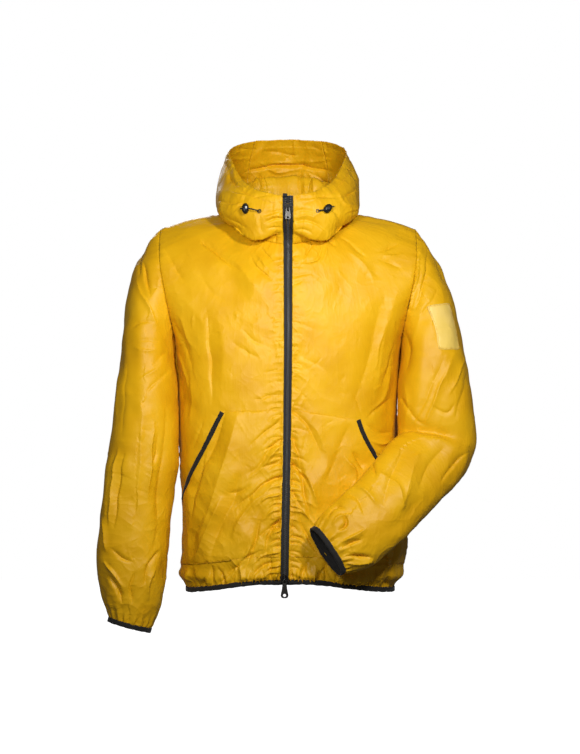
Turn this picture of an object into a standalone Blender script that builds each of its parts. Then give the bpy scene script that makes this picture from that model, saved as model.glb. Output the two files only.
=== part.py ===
"""Hooded zip-front windbreaker, worn on an unseen general figure, as one object for each cut piece.

Metres, +Z up, the wearer faces -Y and their left hand is at +X. The origin is the centre of the neck, level with
the side neck points, where the figure holds the garment up. Each cloth piece is worked out on its flat pattern:
U runs across the cloth and V along it, both in metres of cloth, and a surface function lifts (U, V) to its place.
"""

import math

import bmesh
import bpy
from mathutils import Matrix, Vector
from mathutils.geometry import delaunay_2d_cdt

# ---------------------------------------------------------------- driving sizes
CLOTH = 0.0015          # wall of the shell cloth
POCKET_CLOTH = 0.0011
BINDING_CLOTH = 0.0012
GAP = 0.0003            # between pieces that lie on each other or meet edge to edge
SEAM = 0.0003           # each side of a smooth seam stops this far short of it
CORNER_SEAM = 0.0013    # a piece that leaves a seam at an angle starts this far along
STEP = 0.032            # spacing of the points on plain cloth
ROOM = 0.62 * STEP      # and the least room between two of them
FOLD_ROOM = 0.014       # the same along folds, on the body and on the sleeves
SLEEVE_FOLD_ROOM = 0.008
GATHER_ROOM = 0.006
HEAD_ROOM = 0.007
BESIDE_EDGE = 0.016     # a row of points this far in from the zip and from a sleeve's head
EASE = 1.04             # cloth over the straight way from a top edge to the ring below it

ZIP_HALF = 0.0075       # centre of the zip to the folded front edge
CHEST_Z = -0.262        # the ring under the arms, where the yoke meets the body rings
HEM_Z = -0.6680         # lower edge of the hem at the side seams
HEM_RISE = 0.0225       # the closed zip draws the hem up by this at the centre front
SIDE_NECK_ANGLE = 98.0  # plan angle of the side neck point, from the centre front
SQUARENESS = 0.045      # how far a body ring fills out between its axes

FRONT_WIDTH = 0.275     # centre front to side seam, on the flat
BACK_WIDTH = 0.290      # centre back to side seam
BODY_LENGTH = 0.395     # chest ring to hem, on the flat
NECK_SHARE = 0.29       # share of a half panel's width under the neck seam
ARM_SHARE = 0.64        # and under the shoulder seam
ARM_SPREAD = 0.65       # the armhole drops steeply before it runs under the arm
NECK_SPREAD = 1.28      # the front neck turns away from the zip faster further out
SHOULDER_BOW = 0.006

BIND_HEIGHT = 0.009     # elastic binding on the hem and cuffs
BIND_THICK = 0.0032
BIND_DROP = 0.0008      # from the cloth's edge to the binding
BIND_STEPS = 13         # sections of the hem binding across each half panel
BIND_SKIP = {"front": 0.002, "back": 0.010}     # its last section stops this far from the side seam
HEM_GATHER = 0.0145     # pitch of the gathers over the hem elastic
CUFF_GATHERS = 16
GATHER_DEPTH = 0.0022
GATHER_PEAK = 0.013     # height of the deepest part of the gathers above the binding
FOLD_FADE = 0.022
ABOVE_GATHERS = 0.034   # the row of points where the gathers have faded
PUCKER = 0.0205         # pitch of the puckers along the zip
PUCKER_DEPTH = 0.0014
PUCKER_WIDTH = 0.012

POCKET_TOP = 0.092      # on the front's flat pattern, down from the chest ring
POCKET_BOTTOM = 0.357
POCKET_IN = 0.012       # from the zip's centre line
POCKET_SIDE = 0.006     # from the side seam
POCKET_BINDING = 0.0085
# The slanted mouth of each pocket, from its top by the front to the side seam; the bent arm pulls the left one.
POCKET_MOUTH = {
    "right": (
        (0.128, 0.092), (0.141, 0.112), (0.156, 0.137), (0.175, 0.163), (0.197, 0.190), (0.222, 0.217), (0.251, 0.243),
    ),
    "left": (
        (0.139, 0.106), (0.146, 0.124), (0.157, 0.143), (0.175, 0.165), (0.197, 0.190), (0.222, 0.217), (0.251, 0.243),
    ),
}
PATCH_CENTRE = Vector((0.070, -0.026))
PATCH_SIZE = Vector((0.056, 0.082))

SLIDER_FACE = 0.0022    # front of a slider off the cloth's face
ARCH_HEIGHT = 0.0041
ARCH_WIDTH = 0.0020
PLATE_THICK = 0.0018
BACK_PLATE_THICK = 0.0013
BACK_PLATE_AT = -0.0026
POST_LENGTH = 0.0036    # through the zip, between the plates
POST_AT = -0.0005
POST = ((-0.0015, -0.003), (0.0015, -0.003), (0.0015, 0.003), (-0.0015, 0.003))
# A slider's plate, across and up, wide where it takes the open teeth.
PLATE = (
    (-0.0034, -0.0068), (0.0034, -0.0068), (0.0045, -0.0040), (0.0046, 0.0015),
    (0.0052, 0.0040), (0.0036, 0.0068), (-0.0036, 0.0068), (-0.0052, 0.0040),
    (-0.0046, 0.0015), (-0.0045, -0.0040),
)
BOTTOM_ARCH_AT = -0.0020
PULL_OFF = 0.00145      # the pull's bar, off the slider's face
PULL_THICK = 0.0015
CORD_RADIUS = 0.0011
CORD_HOLE = 0.0016
EYELET_OUTER = 0.0038
EYELET_INNER = 0.0023
EYELET_LIFT = 0.0006


def table(header, *rows):
    """Rows of numbers as a dict of named columns."""
    return {name: [row[i] for row in rows] for i, name in enumerate(header.split())}


# One row for each level of the body, widest to narrowest as the elastic draws it in.
BODY = table(
    "z      half_width front  back   shift  zip_x",
    (-0.6640, 0.1790, 0.1040, 0.1110, 0.003, -0.0065),
    (-0.6500, 0.1860, 0.1090, 0.1160, 0.005, -0.0060),
    (-0.6250, 0.1940, 0.1160, 0.1220, 0.009, -0.0055),
    (-0.5800, 0.1975, 0.1200, 0.1240, 0.012, -0.0050),
    (-0.5100, 0.1935, 0.1195, 0.1220, 0.008, -0.0035),
    (-0.4300, 0.1900, 0.1175, 0.1190, 0.001, -0.0020),
    (-0.3500, 0.1910, 0.1175, 0.1185, 0.000, -0.0010),
    (-0.2620, 0.1945, 0.1200, 0.1190, 0.000, 0.0000),
    (-0.2000, 0.1975, 0.1200, 0.1170, 0.000, 0.0000),
)

# The armhole seam, clockwise from the shoulder point: 0 top, 90 front, 180 underarm, 270 back.
ARMHOLE = table(
    "angle  x       y       z",
    (0.0,   0.2240, 0.008, -0.0340),
    (45.0,  0.2240, -0.038, -0.0800),
    (90.0,  0.2145, -0.058, -0.1400),
    (135.0, 0.2020, -0.043, -0.2000),
    (180.0, 0.1965, 0.004, -0.2320),
    (225.0, 0.2030, 0.050, -0.2000),
    (270.0, 0.2170, 0.069, -0.1400),
    (315.0, 0.2250, 0.051, -0.0800),
    (360.0, 0.2240, 0.008, -0.0340),
)

# Which way the cloth leaves its top edge, by share of the half panel's width.
FRONT_FALL = table(
    "share  x      y      z",
    (0.00,  0.00, -0.32, -0.95),
    (0.29,  0.05, -0.92, -0.38),
    (0.64, -0.20, -0.88, -0.43),
    (0.69, -0.35, -0.65, -0.68),
    (0.765, -0.30, -0.14, -0.95),
    (0.87, -0.14, 0.08, -0.98),
    (1.00,  0.00, 0.00, -1.00),
)
BACK_FALL = table(
    "share  x      y      z",
    (0.00,  0.00, 0.75, -0.66),
    (0.29,  0.05, 0.93, -0.36),
    (0.64, -0.20, 0.88, -0.43),
    (0.69, -0.35, 0.62, -0.70),
    (0.765, -0.28, 0.14, -0.95),
    (0.87, -0.14, -0.08, -0.98),
    (1.00,  0.00, 0.00, -1.00),
)

# Which way the sleeve leaves the armhole, by the armhole's angles.
CAP_FALL = table(
    "angle  x      y      z",
    (0.0,   0.74, -0.02, -0.67),
    (45.0,  0.62, -0.30, -0.72),
    (90.0,  0.42, -0.34, -0.84),
    (135.0, 0.34, -0.26, -0.90),
    (180.0, 0.30, -0.02, -0.95),
    (225.0, 0.34, 0.24, -0.90),
    (270.0, 0.42, 0.32, -0.84),
    (315.0, 0.62, 0.26, -0.72),
    (360.0, 0.74, -0.02, -0.67),
)

# One row for each section of a sleeve: its centre, the turn of its way inwards and forward from straight down,
# and half its width and depth. The wearer's right arm hangs; the left forearm comes round to the front.
SLEEVE_GIRTH = 0.42
HEAD_STEPS = 18
RIGHT_LENGTH = 0.482
LEFT_LENGTH = 0.460
RIGHT_SLEEVE = table(
    "v     x       y       z      turn  forward width   depth",
    (0.000, 0.2450, -0.004, -0.250, 0,   0,  0.0470, 0.0740),
    (0.090, 0.2455, -0.022, -0.338, -3, 3,  0.0558, 0.0660),
    (0.190, 0.2510, -0.030, -0.436, -5, 4,  0.0625, 0.0620),
    (0.265, 0.2615, -0.030, -0.510, -6, 3,  0.0615, 0.0610),
    (0.365, 0.2705, -0.030, -0.607, -6, 2,  0.0625, 0.0600),
    (0.415, 0.2720, -0.029, -0.655, -8, 1,  0.0590, 0.0570),
    (0.450, 0.2730, -0.028, -0.690, -12, 0, 0.0510, 0.0500),
    (0.482, 0.2735, -0.028, -0.719, -15, 0, 0.0385, 0.0420),
)
LEFT_SLEEVE = table(
    "v     x       y       z      turn  forward width   depth",
    (0.000, 0.2515, -0.004, -0.235, -3,  2,  0.0535, 0.0760),
    (0.070, 0.2545, -0.020, -0.310, -2, 6,  0.0635, 0.0700),
    (0.125, 0.2570, -0.030, -0.365, 2,  12, 0.0680, 0.0640),
    (0.170, 0.2575, -0.040, -0.406, 10, 22, 0.0700, 0.0560),
    (0.205, 0.2440, -0.063, -0.431, 27, 35, 0.0685, 0.0455),
    (0.245, 0.2190, -0.092, -0.455, 40, 37, 0.0665, 0.0405),
    (0.325, 0.1705, -0.132, -0.505, 47, 27, 0.0635, 0.0355),
    (0.410, 0.1110, -0.158, -0.558, 53, 16, 0.0625, 0.0320),
    (0.442, 0.0850, -0.161, -0.575, 56, 8, 0.0545, 0.0290),
    (0.460, 0.0710, -0.163, -0.583, 57, 4,  0.0465, 0.0255),
)

RIGHT_FLARE = 1.35      # how far each sleeve head stands out sideways
LEFT_FLARE = 0.95

# Folds, on the flat pattern of each piece. A ridge stands out and a trough has a negative depth.
FOLD_COLUMNS = ("u", "v", "angle", "length", "width", "depth")
FOLDS = {
    "front_right": table(
        "u     v      angle length width  depth",
        (0.105, -0.180, -38, 0.120, 0.018, 0.0045),
        (0.060, -0.150, -48, 0.070, 0.013, 0.0040),
        (0.135, -0.080, 4,   0.170, 0.016, -0.0040),
        (0.245, -0.010, -24, 0.130, 0.018, -0.0040),
        (0.050, 0.170,  38,  0.170, 0.017, -0.0040),
        (0.120, 0.165,  32,  0.200, 0.020, 0.0050),
        (0.060, 0.290,  30,  0.090, 0.014, 0.0040),
    ),
    "front_left": table(
        "u     v      angle length width  depth",
        (0.110, -0.215, -30, 0.110, 0.018, 0.0045),
        (0.170, -0.190, -35, 0.090, 0.015, -0.0040),
        (0.185, -0.120, 10,  0.180, 0.016, 0.0040),
        (0.235, 0.000,  -14, 0.150, 0.018, -0.0040),
        (0.085, 0.170,  -28, 0.150, 0.018, 0.0045),
        (0.180, 0.240,  20,  0.130, 0.020, 0.0050),
    ),
    "back": table(
        "u     v      angle length width  depth",
        (-0.210, -0.120, 16, 0.170, 0.020, 0.0050),
        (0.215, -0.130, -20, 0.150, 0.020, 0.0050),
        (-0.120, -0.150, 30, 0.160, 0.018, -0.0040),
        (0.110, -0.100, -26, 0.190, 0.018, -0.0045),
        (-0.240, 0.030, 34,  0.200, 0.022, 0.0050),
        (0.235, 0.060, -38,  0.180, 0.022, 0.0045),
        (-0.060, 0.180, 14,  0.160, 0.020, 0.0045),
        (0.070, 0.200, -10,  0.150, 0.020, 0.0040),
    ),
    "sleeve_right": table(
        "u     v      angle length width  depth",
        (0.060, -0.080, 6,   0.230, 0.017, -0.0045),
        (0.110, 0.030,  -10, 0.210, 0.018, 0.0045),
        (0.030, 0.180,  8,   0.190, 0.018, 0.0045),
        (0.360, -0.060, -6,  0.240, 0.018, -0.0045),
        (0.290, 0.080,  12,  0.220, 0.018, 0.0040),
        (0.080, 0.330,  -26, 0.110, 0.014, -0.0045),
        (0.130, 0.350,  20,  0.100, 0.014, 0.0045),
    ),
    "sleeve_left": table(
        "u     v      angle length width  depth",
        (0.120, -0.050, 8,   0.160, 0.017, 0.0040),
        (0.350, -0.060, -8,  0.200, 0.018, -0.0045),
        (0.020, 0.178,  90,  0.190, 0.010, -0.0090),
        (0.010, 0.198,  90,  0.200, 0.011, 0.0070),
        (0.060, 0.280,  6,   0.150, 0.014, -0.0040),
        (0.100, 0.250,  -8,  0.180, 0.015, 0.0040),
        (0.320, 0.250,  4,   0.180, 0.016, -0.0040),
    ),
}

# The hood, lying open on the shoulders: one row for each plan angle from the centre front (0) to the centre
# back (180), and for each the distance from the neck axis and the height of the rings the cloth runs through.
HOOD_ANGLES = (0, 30, 60, 90, 120, 150, 180)
HOOD_RINGS = {
    # ring:   distance at each angle                                  height at each angle
    "seam":  ((.0920, .0885, .0840, .0845, .0830, .0720, .0680), (-.068, -.058, -.035, -.007, -.007, -.012, -.014)),
    "nape":  ((.0950, .0925, .0880, .0880, .0855, .0765, .0720), (-.060, -.053, -.024, .001, .018, .028, .032)),
    "crest": ((.0980, .1000, .0985, .0970, .0945, .0870, .0820), (-.050, -.051, -.014, .011, .040, .058, .064)),
    "over":  ((.0998, .1045, .1055, .1040, .1040, .1010, .0980), (-.0455, -.0555, -.018, .011, .039, .052, .058)),
    "fall":  ((.1015, .1090, .1120, .1100, .1130, .1150, .1150), (-.041, -.061, -.026, .004, .014, .004, .000)),
    "low":   ((.1055, .1180, .1230, .1190, .1300, .1400, .1420), (-.033, -.064, -.032, -.001, -.014, -.080, -.105)),
    "wall":  ((.1110, .1255, .1310, .1250, .1440, .1640, .1740), (-.020, -.035, -.006, .018, .004, -.015, -.025)),
    "upper": ((.1155, .1210, .1215, .1190, .1370, .1560, .1640), (-.004, .002, .026, .055, .068, .072, .068)),
    "rim":   ((.1190, .1070, .0950, .0985, .1170, .1270, .1290), (.012, .026, .052, .086, .112, .130, .135)),
}
HOOD_TOP = len(HOOD_RINGS) - 1
HOOD_ROWS = (0, .5, 1, 1.5, 1.8, 2.2, 2.6, 3, 3.4, 4, 4.5, 5, 5.4, 5.8, 6.3, 6.8, 7.2, 7.6, 8)
HOOD_FIRST_ROW = 0.04   # cloth between the neck seam and the ring above it, at the back
HOOD_CENTRE_ANGLE = 152.0   # the centre panel runs from here round the back
HOOD_SEAM_TURN = 0.2
EYELET_PLACES = {"right": (23.5, 6.65), "left": (24.5, 6.65)}   # plan angle and row on the hood

# The zip, in shares of the way from its middle to the front edges and in heights off the cloth's face.
TAPE_IN, TAPE_OUT = 0.36, 0.92
TAPE_BACK, TAPE_FRONT = -0.0013, -0.0003
CHAIN_OUT = 0.30
CHAIN_BACK, CHAIN_FRONT = -0.0016, 0.0005
TOP_SLIDER = ("hood", 6.85)
BOTTOM_SLIDER = ("body", 0.3965)
CHAIN_FOOT = 0.3875     # the chain's ends on the body and on the hood, just clear of the sliders
CHAIN_HEAD = TOP_SLIDER[1] - 0.5
ZIP_NECK = -0.198       # the neck seam at the zip, on the body's flat pattern
# Each pull, as distances down from its hinge and half its width there.
TOP_PULL = (
    (-0.0007, 0.0030), (0.0000, 0.0034), (0.0055, 0.0042), (0.0120, 0.0050), (0.0172, 0.0050), (0.0185, 0.0040),
)
BOTTOM_PULL = (
    (-0.0007, 0.0030), (0.0000, 0.0034), (0.0058, 0.0036), (0.0140, 0.0045), (0.0210, 0.0060),
    (0.0255, 0.0067), (0.0285, 0.0055), (0.0300, 0.0030),
)
PULL_HOLE = {"top": 0.0016, "bottom": 0.0026}


# ---------------------------------------------------------------- small maths
def through(knots, values, t):
    """A smooth curve that passes through each value at its knot."""
    last = len(knots) - 1
    i = 0
    while i < last - 1 and t > knots[i + 1]:
        i += 1

    def slope(j):
        a, b = max(j - 1, 0), min(j + 1, last)
        return (values[b] - values[a]) / (knots[b] - knots[a])

    span = knots[i + 1] - knots[i]
    s = min(max((t - knots[i]) / span, 0.0), 1.0)
    return (
        values[i] * (2 * s**3 - 3 * s**2 + 1)
        + slope(i) * (span * (s**3 - 2 * s**2 + s))
        + values[i + 1] * (3 * s**2 - 2 * s**3)
        + slope(i + 1) * (span * (s**3 - s**2))
    )


def column(rows, name, key, t):
    return through(rows[key], rows[name], t)


def point_of(rows, key, t):
    """The x, y and z columns of a table at a value of its key."""
    return Vector([column(rows, axis, key, t) for axis in "xyz"])


def hermite(start, start_way, end, end_way, s):
    return (
        start * (2 * s**3 - 3 * s**2 + 1)
        + start_way * (s**3 - 2 * s**2 + s)
        + end * (3 * s**2 - 2 * s**3)
        + end_way * (s**3 - s**2)
    )


def bell(distance, width):
    return math.exp(-((distance / width) ** 2))


def mirrored(point, side):
    """side is +1 for the wearer's left (+X) and -1 for their right."""
    return Vector((point.x * side, point.y, point.z))


# ---------------------------------------------------------------- the body on its figure
def body_ring(z, angle, face, side):
    """A point of the body at a height; angle 0 is the centre front or back and 90 the side seam."""
    a = math.radians(angle)
    fill = 1 + SQUARENESS * math.sin(2 * a) ** 2
    half = column(BODY, "half_width", "z", z)
    depth = column(BODY, face, "z", z)
    shift = column(BODY, "shift", "z", z)
    if face == "front":
        shift += (column(BODY, "zip_x", "z", z) - shift) * math.cos(a) ** 2
    toward = -1 if face == "front" else 1
    return Vector((side * half * math.sin(a) * fill + shift, toward * depth * math.cos(a) * fill, z))


def arc_angles(face):
    """Plan angles that split a quarter of the chest ring into equal lengths of cloth."""
    steps = 60
    ring = [body_ring(CHEST_Z, 90 * i / steps, face, 1) for i in range(steps + 1)]
    run = [0.0]
    for before, after in zip(ring, ring[1:]):
        run.append(run[-1] + (after - before).length)
    return [r / run[-1] for r in run], [90 * i / steps for i in range(steps + 1)]


ARC = {face: arc_angles(face) for face in ("front", "back")}


def ring_angle(face, share):
    return through(ARC[face][0], ARC[face][1], share)


def hood_ring(ring, angle):
    reach, height = HOOD_RINGS[ring]
    r = through(HOOD_ANGLES, reach, angle)
    a = math.radians(angle)
    return Vector((r * math.sin(a), -r * math.cos(a), through(HOOD_ANGLES, height, angle)))


def top_edge(face, share):
    """The neck seam, the shoulder seam and the armhole seam in turn, by share of the half panel's width."""
    if share < NECK_SHARE:
        turn = share / NECK_SHARE
        front_turn = SIDE_NECK_ANGLE * turn**NECK_SPREAD
        back_turn = 180 - (180 - SIDE_NECK_ANGLE) * turn
        return hood_ring("seam", front_turn if face == "front" else back_turn)
    if share < ARM_SHARE:
        along = (share - NECK_SHARE) / (ARM_SHARE - NECK_SHARE)
        bow = Vector((0, 0, SHOULDER_BOW * math.sin(math.pi * along)))
        return hood_ring("seam", SIDE_NECK_ANGLE).lerp(point_of(ARMHOLE, "angle", 0), along) + bow
    down = 180 * ((share - ARM_SHARE) / (1 - ARM_SHARE)) ** ARM_SPREAD
    return point_of(ARMHOLE, "angle", down if face == "front" else 360 - down)


FALL = {"front": FRONT_FALL, "back": BACK_FALL}
WIDTH = {"front": FRONT_WIDTH, "back": BACK_WIDTH}


def yoke_length(face, share):
    """Cloth from the top edge down to the chest ring."""
    end = body_ring(CHEST_Z, ring_angle(face, share), face, 1)
    return EASE * (top_edge(face, share) - end).length


def hem_height(face, angle):
    edge = HEM_Z + BIND_HEIGHT + BIND_DROP
    if face == "front":
        edge += HEM_RISE * bell(angle, 41)
    return edge


def body_surface(face, side, u, v):
    """The smooth body, with no folds: u from the centre line to the side seam, v down from the chest ring."""
    share = min(u / WIDTH[face], 1.0)
    angle = ring_angle(face, share)
    if v >= 0:
        z = CHEST_Z + (hem_height(face, angle) - CHEST_Z) * v / BODY_LENGTH
        return body_ring(z, angle, face, side)
    length = yoke_length(face, share)
    end = body_ring(CHEST_Z, angle, face, side)
    end_way = (body_ring(CHEST_Z - 0.01, angle, face, side) - end) * (length / 0.01)
    start_way = point_of(FALL[face], "share", share).normalized() * length
    start = mirrored(top_edge(face, share), side)
    return hermite(start, mirrored(start_way, side), end, end_way, (v + length) / length)


# ---------------------------------------------------------------- the sleeves on their figure
def sleeve_section(rows, v, angle):
    """A point of a sleeve's section; angle 0 is the outer side, 90 the front, 180 the inner side."""
    turn = math.radians(column(rows, "turn", "v", v))
    forward = math.radians(column(rows, "forward", "v", v))
    outer = Vector((math.cos(turn), 0, -math.sin(turn)))
    along = Vector((-math.sin(turn) * math.cos(forward), -math.sin(forward), -math.cos(turn) * math.cos(forward)))
    front = along.cross(outer)
    a = math.radians(angle)
    fill = 1 + 0.03 * math.sin(2 * a) ** 2
    centre = point_of(rows, "v", v)
    return (
        centre
        + outer * (column(rows, "width", "v", v) * math.cos(a) * fill)
        + front * (column(rows, "depth", "v", v) * math.sin(a) * fill)
    )


def cap_length(rows, angle):
    return EASE * (sleeve_section(rows, 0, angle) - point_of(ARMHOLE, "angle", angle)).length


def sleeve_surface(rows, side, flare, u, v):
    """The smooth sleeve: u round it from the shoulder point, v down from the top of the underarm."""
    angle = (360 * u / SLEEVE_GIRTH) % 360
    if v >= 0:
        return mirrored(sleeve_section(rows, v, angle), side)
    length = cap_length(rows, angle)
    start = point_of(ARMHOLE, "angle", angle)
    end = sleeve_section(rows, 0, angle)
    end_way = (sleeve_section(rows, 0.01, angle) - end) * (length / 0.01)
    start_way = point_of(CAP_FALL, "angle", angle)
    start_way.x *= flare
    start_way = start_way.normalized() * length
    return mirrored(hermite(start, start_way, end, end_way, (v + length) / length), side)


# ---------------------------------------------------------------- folds
def fold_height(folds, u, v):
    """Soft ridges and troughs: each runs from (u, v) at an angle from straight down, by its length."""
    height = 0.0
    for fu, fv, angle, length, width, depth in zip(*(folds[name] for name in FOLD_COLUMNS)):
        way = Vector((math.sin(math.radians(angle)), math.cos(math.radians(angle))))
        offset = Vector((u - fu, v - fv))
        along = offset.dot(way) / length
        if 0 < along < 1:
            across = offset.dot(Vector((way.y, -way.x)))
            height += depth * bell(across, width) * math.sin(math.pi * along) ** 0.7
    return height


def fold_points(folds):
    """Points along each fold's line and a width to each side of it."""
    points = []
    for fu, fv, angle, length, width, depth in zip(*(folds[name] for name in FOLD_COLUMNS)):
        way = Vector((math.sin(math.radians(angle)), math.cos(math.radians(angle))))
        across = Vector((way.y, -way.x))
        steps = max(3, round(length / STEP))
        for i in range(1, steps):
            middle = Vector((fu, fv)) + way * (length * i / steps)
            points += [middle, middle + across * width * 1.3, middle - across * width * 1.3]
    return points


def gather_depth(above_edge):
    """Gathers are flat at the sewn edge, deepest a little above it, and fade further up."""
    near = max(above_edge, 0) / GATHER_PEAK
    return GATHER_DEPTH * near * math.exp(1 - near)


def hem_gather(u, v):
    return math.cos(2 * math.pi * u / HEM_GATHER) * gather_depth(BODY_LENGTH - v)


def settled(distance):
    """Folds fade out over the last stretch before a seam."""
    near = min(max(distance / FOLD_FADE, 0), 1)
    return near * near * (3 - 2 * near)


def body_relief(face, folds, u, v):
    share = min(abs(u) / WIDTH[face], 1)
    beside = settled(WIDTH[face] * (1 - share))
    height = fold_height(folds, u, v) * beside * settled(v + yoke_length(face, share)) * settled(BODY_LENGTH - v)
    height += hem_gather(u, v) * beside
    if face == "front":
        height += PUCKER_DEPTH * (1 + math.cos(2 * math.pi * v / PUCKER)) * bell(u - ZIP_HALF, PUCKER_WIDTH)
    return height


def sleeve_relief(rows, folds, length, u, v):
    gather = math.cos(2 * math.pi * CUFF_GATHERS * u / SLEEVE_GIRTH) * gather_depth(length - v)
    wrapped = sum(fold_height(folds, u + turn * SLEEVE_GIRTH, v) for turn in (-1, 0, 1))
    free = settled(v + cap_length(rows, (360 * u / SLEEVE_GIRTH) % 360)) * settled(length - v)
    return wrapped * free + gather


# ---------------------------------------------------------------- cloth meshes
def relieved(surface, relief, outward):
    """A surface with its folds, and its outward direction, both from (u, v)."""
    small = 0.0008

    def normal(lift, u, v):
        across = lift(u + small, v) - lift(u - small, v)
        down = lift(u, v + small) - lift(u, v - small)
        return across.cross(down).normalized() * outward

    def lifted(u, v):
        return surface(u, v) + normal(surface, u, v) * relief(u, v)

    return lambda u, v: (lifted(u, v), normal(lifted, u, v))


def subdivided(corners, step, closed=False):
    """Points along a line through the corners, no further apart than the step."""
    ends = corners[1:] + corners[:1] if closed else corners[1:]
    points = []
    for start, end in zip(corners, ends):
        pieces = max(1, math.ceil((end - start).length / step - 0.01))
        points += [start.lerp(end, i / pieces) for i in range(pieces)]
    return points if closed else points + [corners[-1]]


def inside(polygon, point):
    within = False
    for a, b in zip(polygon, polygon[1:] + polygon[:1]):
        if (a.y > point.y) != (b.y > point.y):
            if point.x < a.x + (b.x - a.x) * (point.y - a.y) / (b.y - a.y):
                within = not within
    return within


def edge_distance(polygon, point):
    nearest = 1.0
    for a, b in zip(polygon, polygon[1:] + polygon[:1]):
        run = b - a
        t = min(max((point - a).dot(run) / run.length_squared, 0), 1)
        nearest = min(nearest, (a + run * t - point).length)
    return nearest


def triangulated(outline, marks, wanted):
    """Triangles that fill the outline, with the marks' edges kept and the wanted points where there is room."""
    points = list(outline)
    edges = [(i, (i + 1) % len(outline)) for i in range(len(outline))]
    for mark in marks:
        first = len(points)
        points += mark
        edges += [(first + i, first + (i + 1) % len(mark)) for i in range(len(mark))]
    for point, room in wanted:
        if not inside(outline, point):
            continue
        if any(edge_distance(line, point) < room for line in [outline, *marks]):
            continue
        if all((point - other).length > room for other in points):
            points.append(point)
    found = delaunay_2d_cdt(points, edges, [], 1, 1e-6)
    return found[0], [tuple(face) for face in found[2]]


def grid_of_points(outline, step):
    """Points on a triangular grid over the outline's box."""
    us, vs = [p.x for p in outline], [p.y for p in outline]
    points = []
    for j in range(int((max(vs) - min(vs)) / step / 0.87) + 1):
        for i in range(int((max(us) - min(us)) / step) + 1):
            points.append(Vector((min(us) + step * (i + 0.5 * (j % 2)), min(vs) + 0.87 * step * j)))
    return points


def add_object(name, material, vertices, faces):
    mesh = bpy.data.meshes.new(name)
    mesh.from_pydata([tuple(v) for v in vertices], [], faces)
    shape = bmesh.new()
    shape.from_mesh(mesh)
    bmesh.ops.recalc_face_normals(shape, faces=shape.faces)
    shape.to_mesh(mesh)
    shape.free()
    mesh.materials.append(material)
    thing = bpy.data.objects.new(name, mesh)
    bpy.context.scene.collection.objects.link(thing)
    return thing


def thick_cloth(name, material, spots, triangles, bottom, top):
    """A closed wall between two offsets from the spots' points, along their outward ways."""
    used = sorted({i for triangle in triangles for i in triangle})
    index = {old: new for new, old in enumerate(used)}
    count = len(used)
    upper = [spots[i][0] + spots[i][1] * top for i in used]
    lower = [spots[i][0] + spots[i][1] * bottom for i in used]
    faces = []
    border = {}
    for triangle in triangles:
        a, b, c = (index[i] for i in triangle)
        faces.append((a, b, c))
        faces.append((c + count, b + count, a + count))
        for start, end in ((a, b), (b, c), (c, a)):
            if border.pop((end, start), None) is None:
                border[(start, end)] = True
    for start, end in border:
        faces.append((start, start + count, end + count, end))
    return add_object(name, material, upper + lower, faces)


def loops_solid(name, material, loops, closed=False):
    """A solid skinned over loops of equal length; open runs of loops are capped at both ends."""
    size = len(loops[0])
    vertices = [point for loop in loops for point in loop]
    faces = []
    pairs = len(loops) if closed else len(loops) - 1
    for j in range(pairs):
        here, there = j * size, ((j + 1) % len(loops)) * size
        for i in range(size):
            k = (i + 1) % size
            faces.append((here + i, here + k, there + k, there + i))
    if not closed:
        faces.append(tuple(reversed(range(size))))
        faces.append(tuple(range(len(vertices) - size, len(vertices))))
    return add_object(name, material, vertices, faces)


# ---------------------------------------------------------------- materials
def finish(name, colour, roughness, metallic=0.0):
    material = bpy.data.materials.new(name)
    material.use_nodes = True
    shader = material.node_tree.nodes["Principled BSDF"]
    shader.inputs["Base Color"].default_value = (*colour, 1)
    shader.inputs["Roughness"].default_value = roughness
    shader.inputs["Metallic"].default_value = metallic
    material.diffuse_color = (*colour, 1)
    return material


def cut_piece(name, material, spots, triangles, keep, bottom, top):
    """The triangles whose middles lie in the outline to keep, as a closed wall."""
    kept = []
    for triangle in triangles:
        middle = sum((spots[i][2] for i in triangle), Vector((0, 0))) / 3
        if inside(keep, middle):
            kept.append(triangle)
    return thick_cloth(name, material, spots, kept, bottom, top)


# ---------------------------------------------------------------- body panels
def shares(start, end, count):
    return [start + (end - start) * i / count for i in range(count + 1)]


FRONT_HOOD_ANGLES = (4.7, 14, 26, 40, 54, 68, 83, 98)
BACK_HOOD_ANGLES = (98, 112, 126, 139, 152, 166, 180)


def half_outline(face):
    """The top and side edge of half a panel, from the centre to the hem's corner, in (u, v)."""
    width = WIDTH[face]
    if face == "front":
        neck = [NECK_SHARE * (a / SIDE_NECK_ANGLE) ** (1 / NECK_SPREAD) for a in FRONT_HOOD_ANGLES[1:]]
    else:
        neck = [NECK_SHARE * (180 - a) / (180 - SIDE_NECK_ANGLE) for a in reversed(BACK_HOOD_ANGLES)]
    arm = [ARM_SHARE + (1 - ARM_SHARE) * (i / 9) ** (1 / ARM_SPREAD) for i in range(1, 10)]
    top = neck + shares(NECK_SHARE, ARM_SHARE, 5)[1:] + arm
    edge = [Vector((share * width, CORNER_SEAM - yoke_length(face, share))) for share in top]
    edge[-1].x -= SEAM
    corner = Vector((width - SEAM, BODY_LENGTH))
    return edge + subdivided([edge[-1], corner], STEP)[1:]


def spots_of(surface, found):
    return [(*surface(p.x, p.y), p) for p in found]


def hem_points(start, end):
    """Where the hem gathers rise and fall, from one edge to the other, and the rows above them."""
    half = HEM_GATHER / 2
    first, last = math.ceil(start / half + 0.3), math.floor(end / half - 0.3)
    edge = [Vector((i * half, BODY_LENGTH)) for i in range(first, last + 1)]
    rows = [Vector((p.x, BODY_LENGTH - GATHER_PEAK)) for p in edge]
    return edge[::2], rows + [Vector((p.x, BODY_LENGTH - ABOVE_GATHERS)) for p in edge[::2]]


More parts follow.
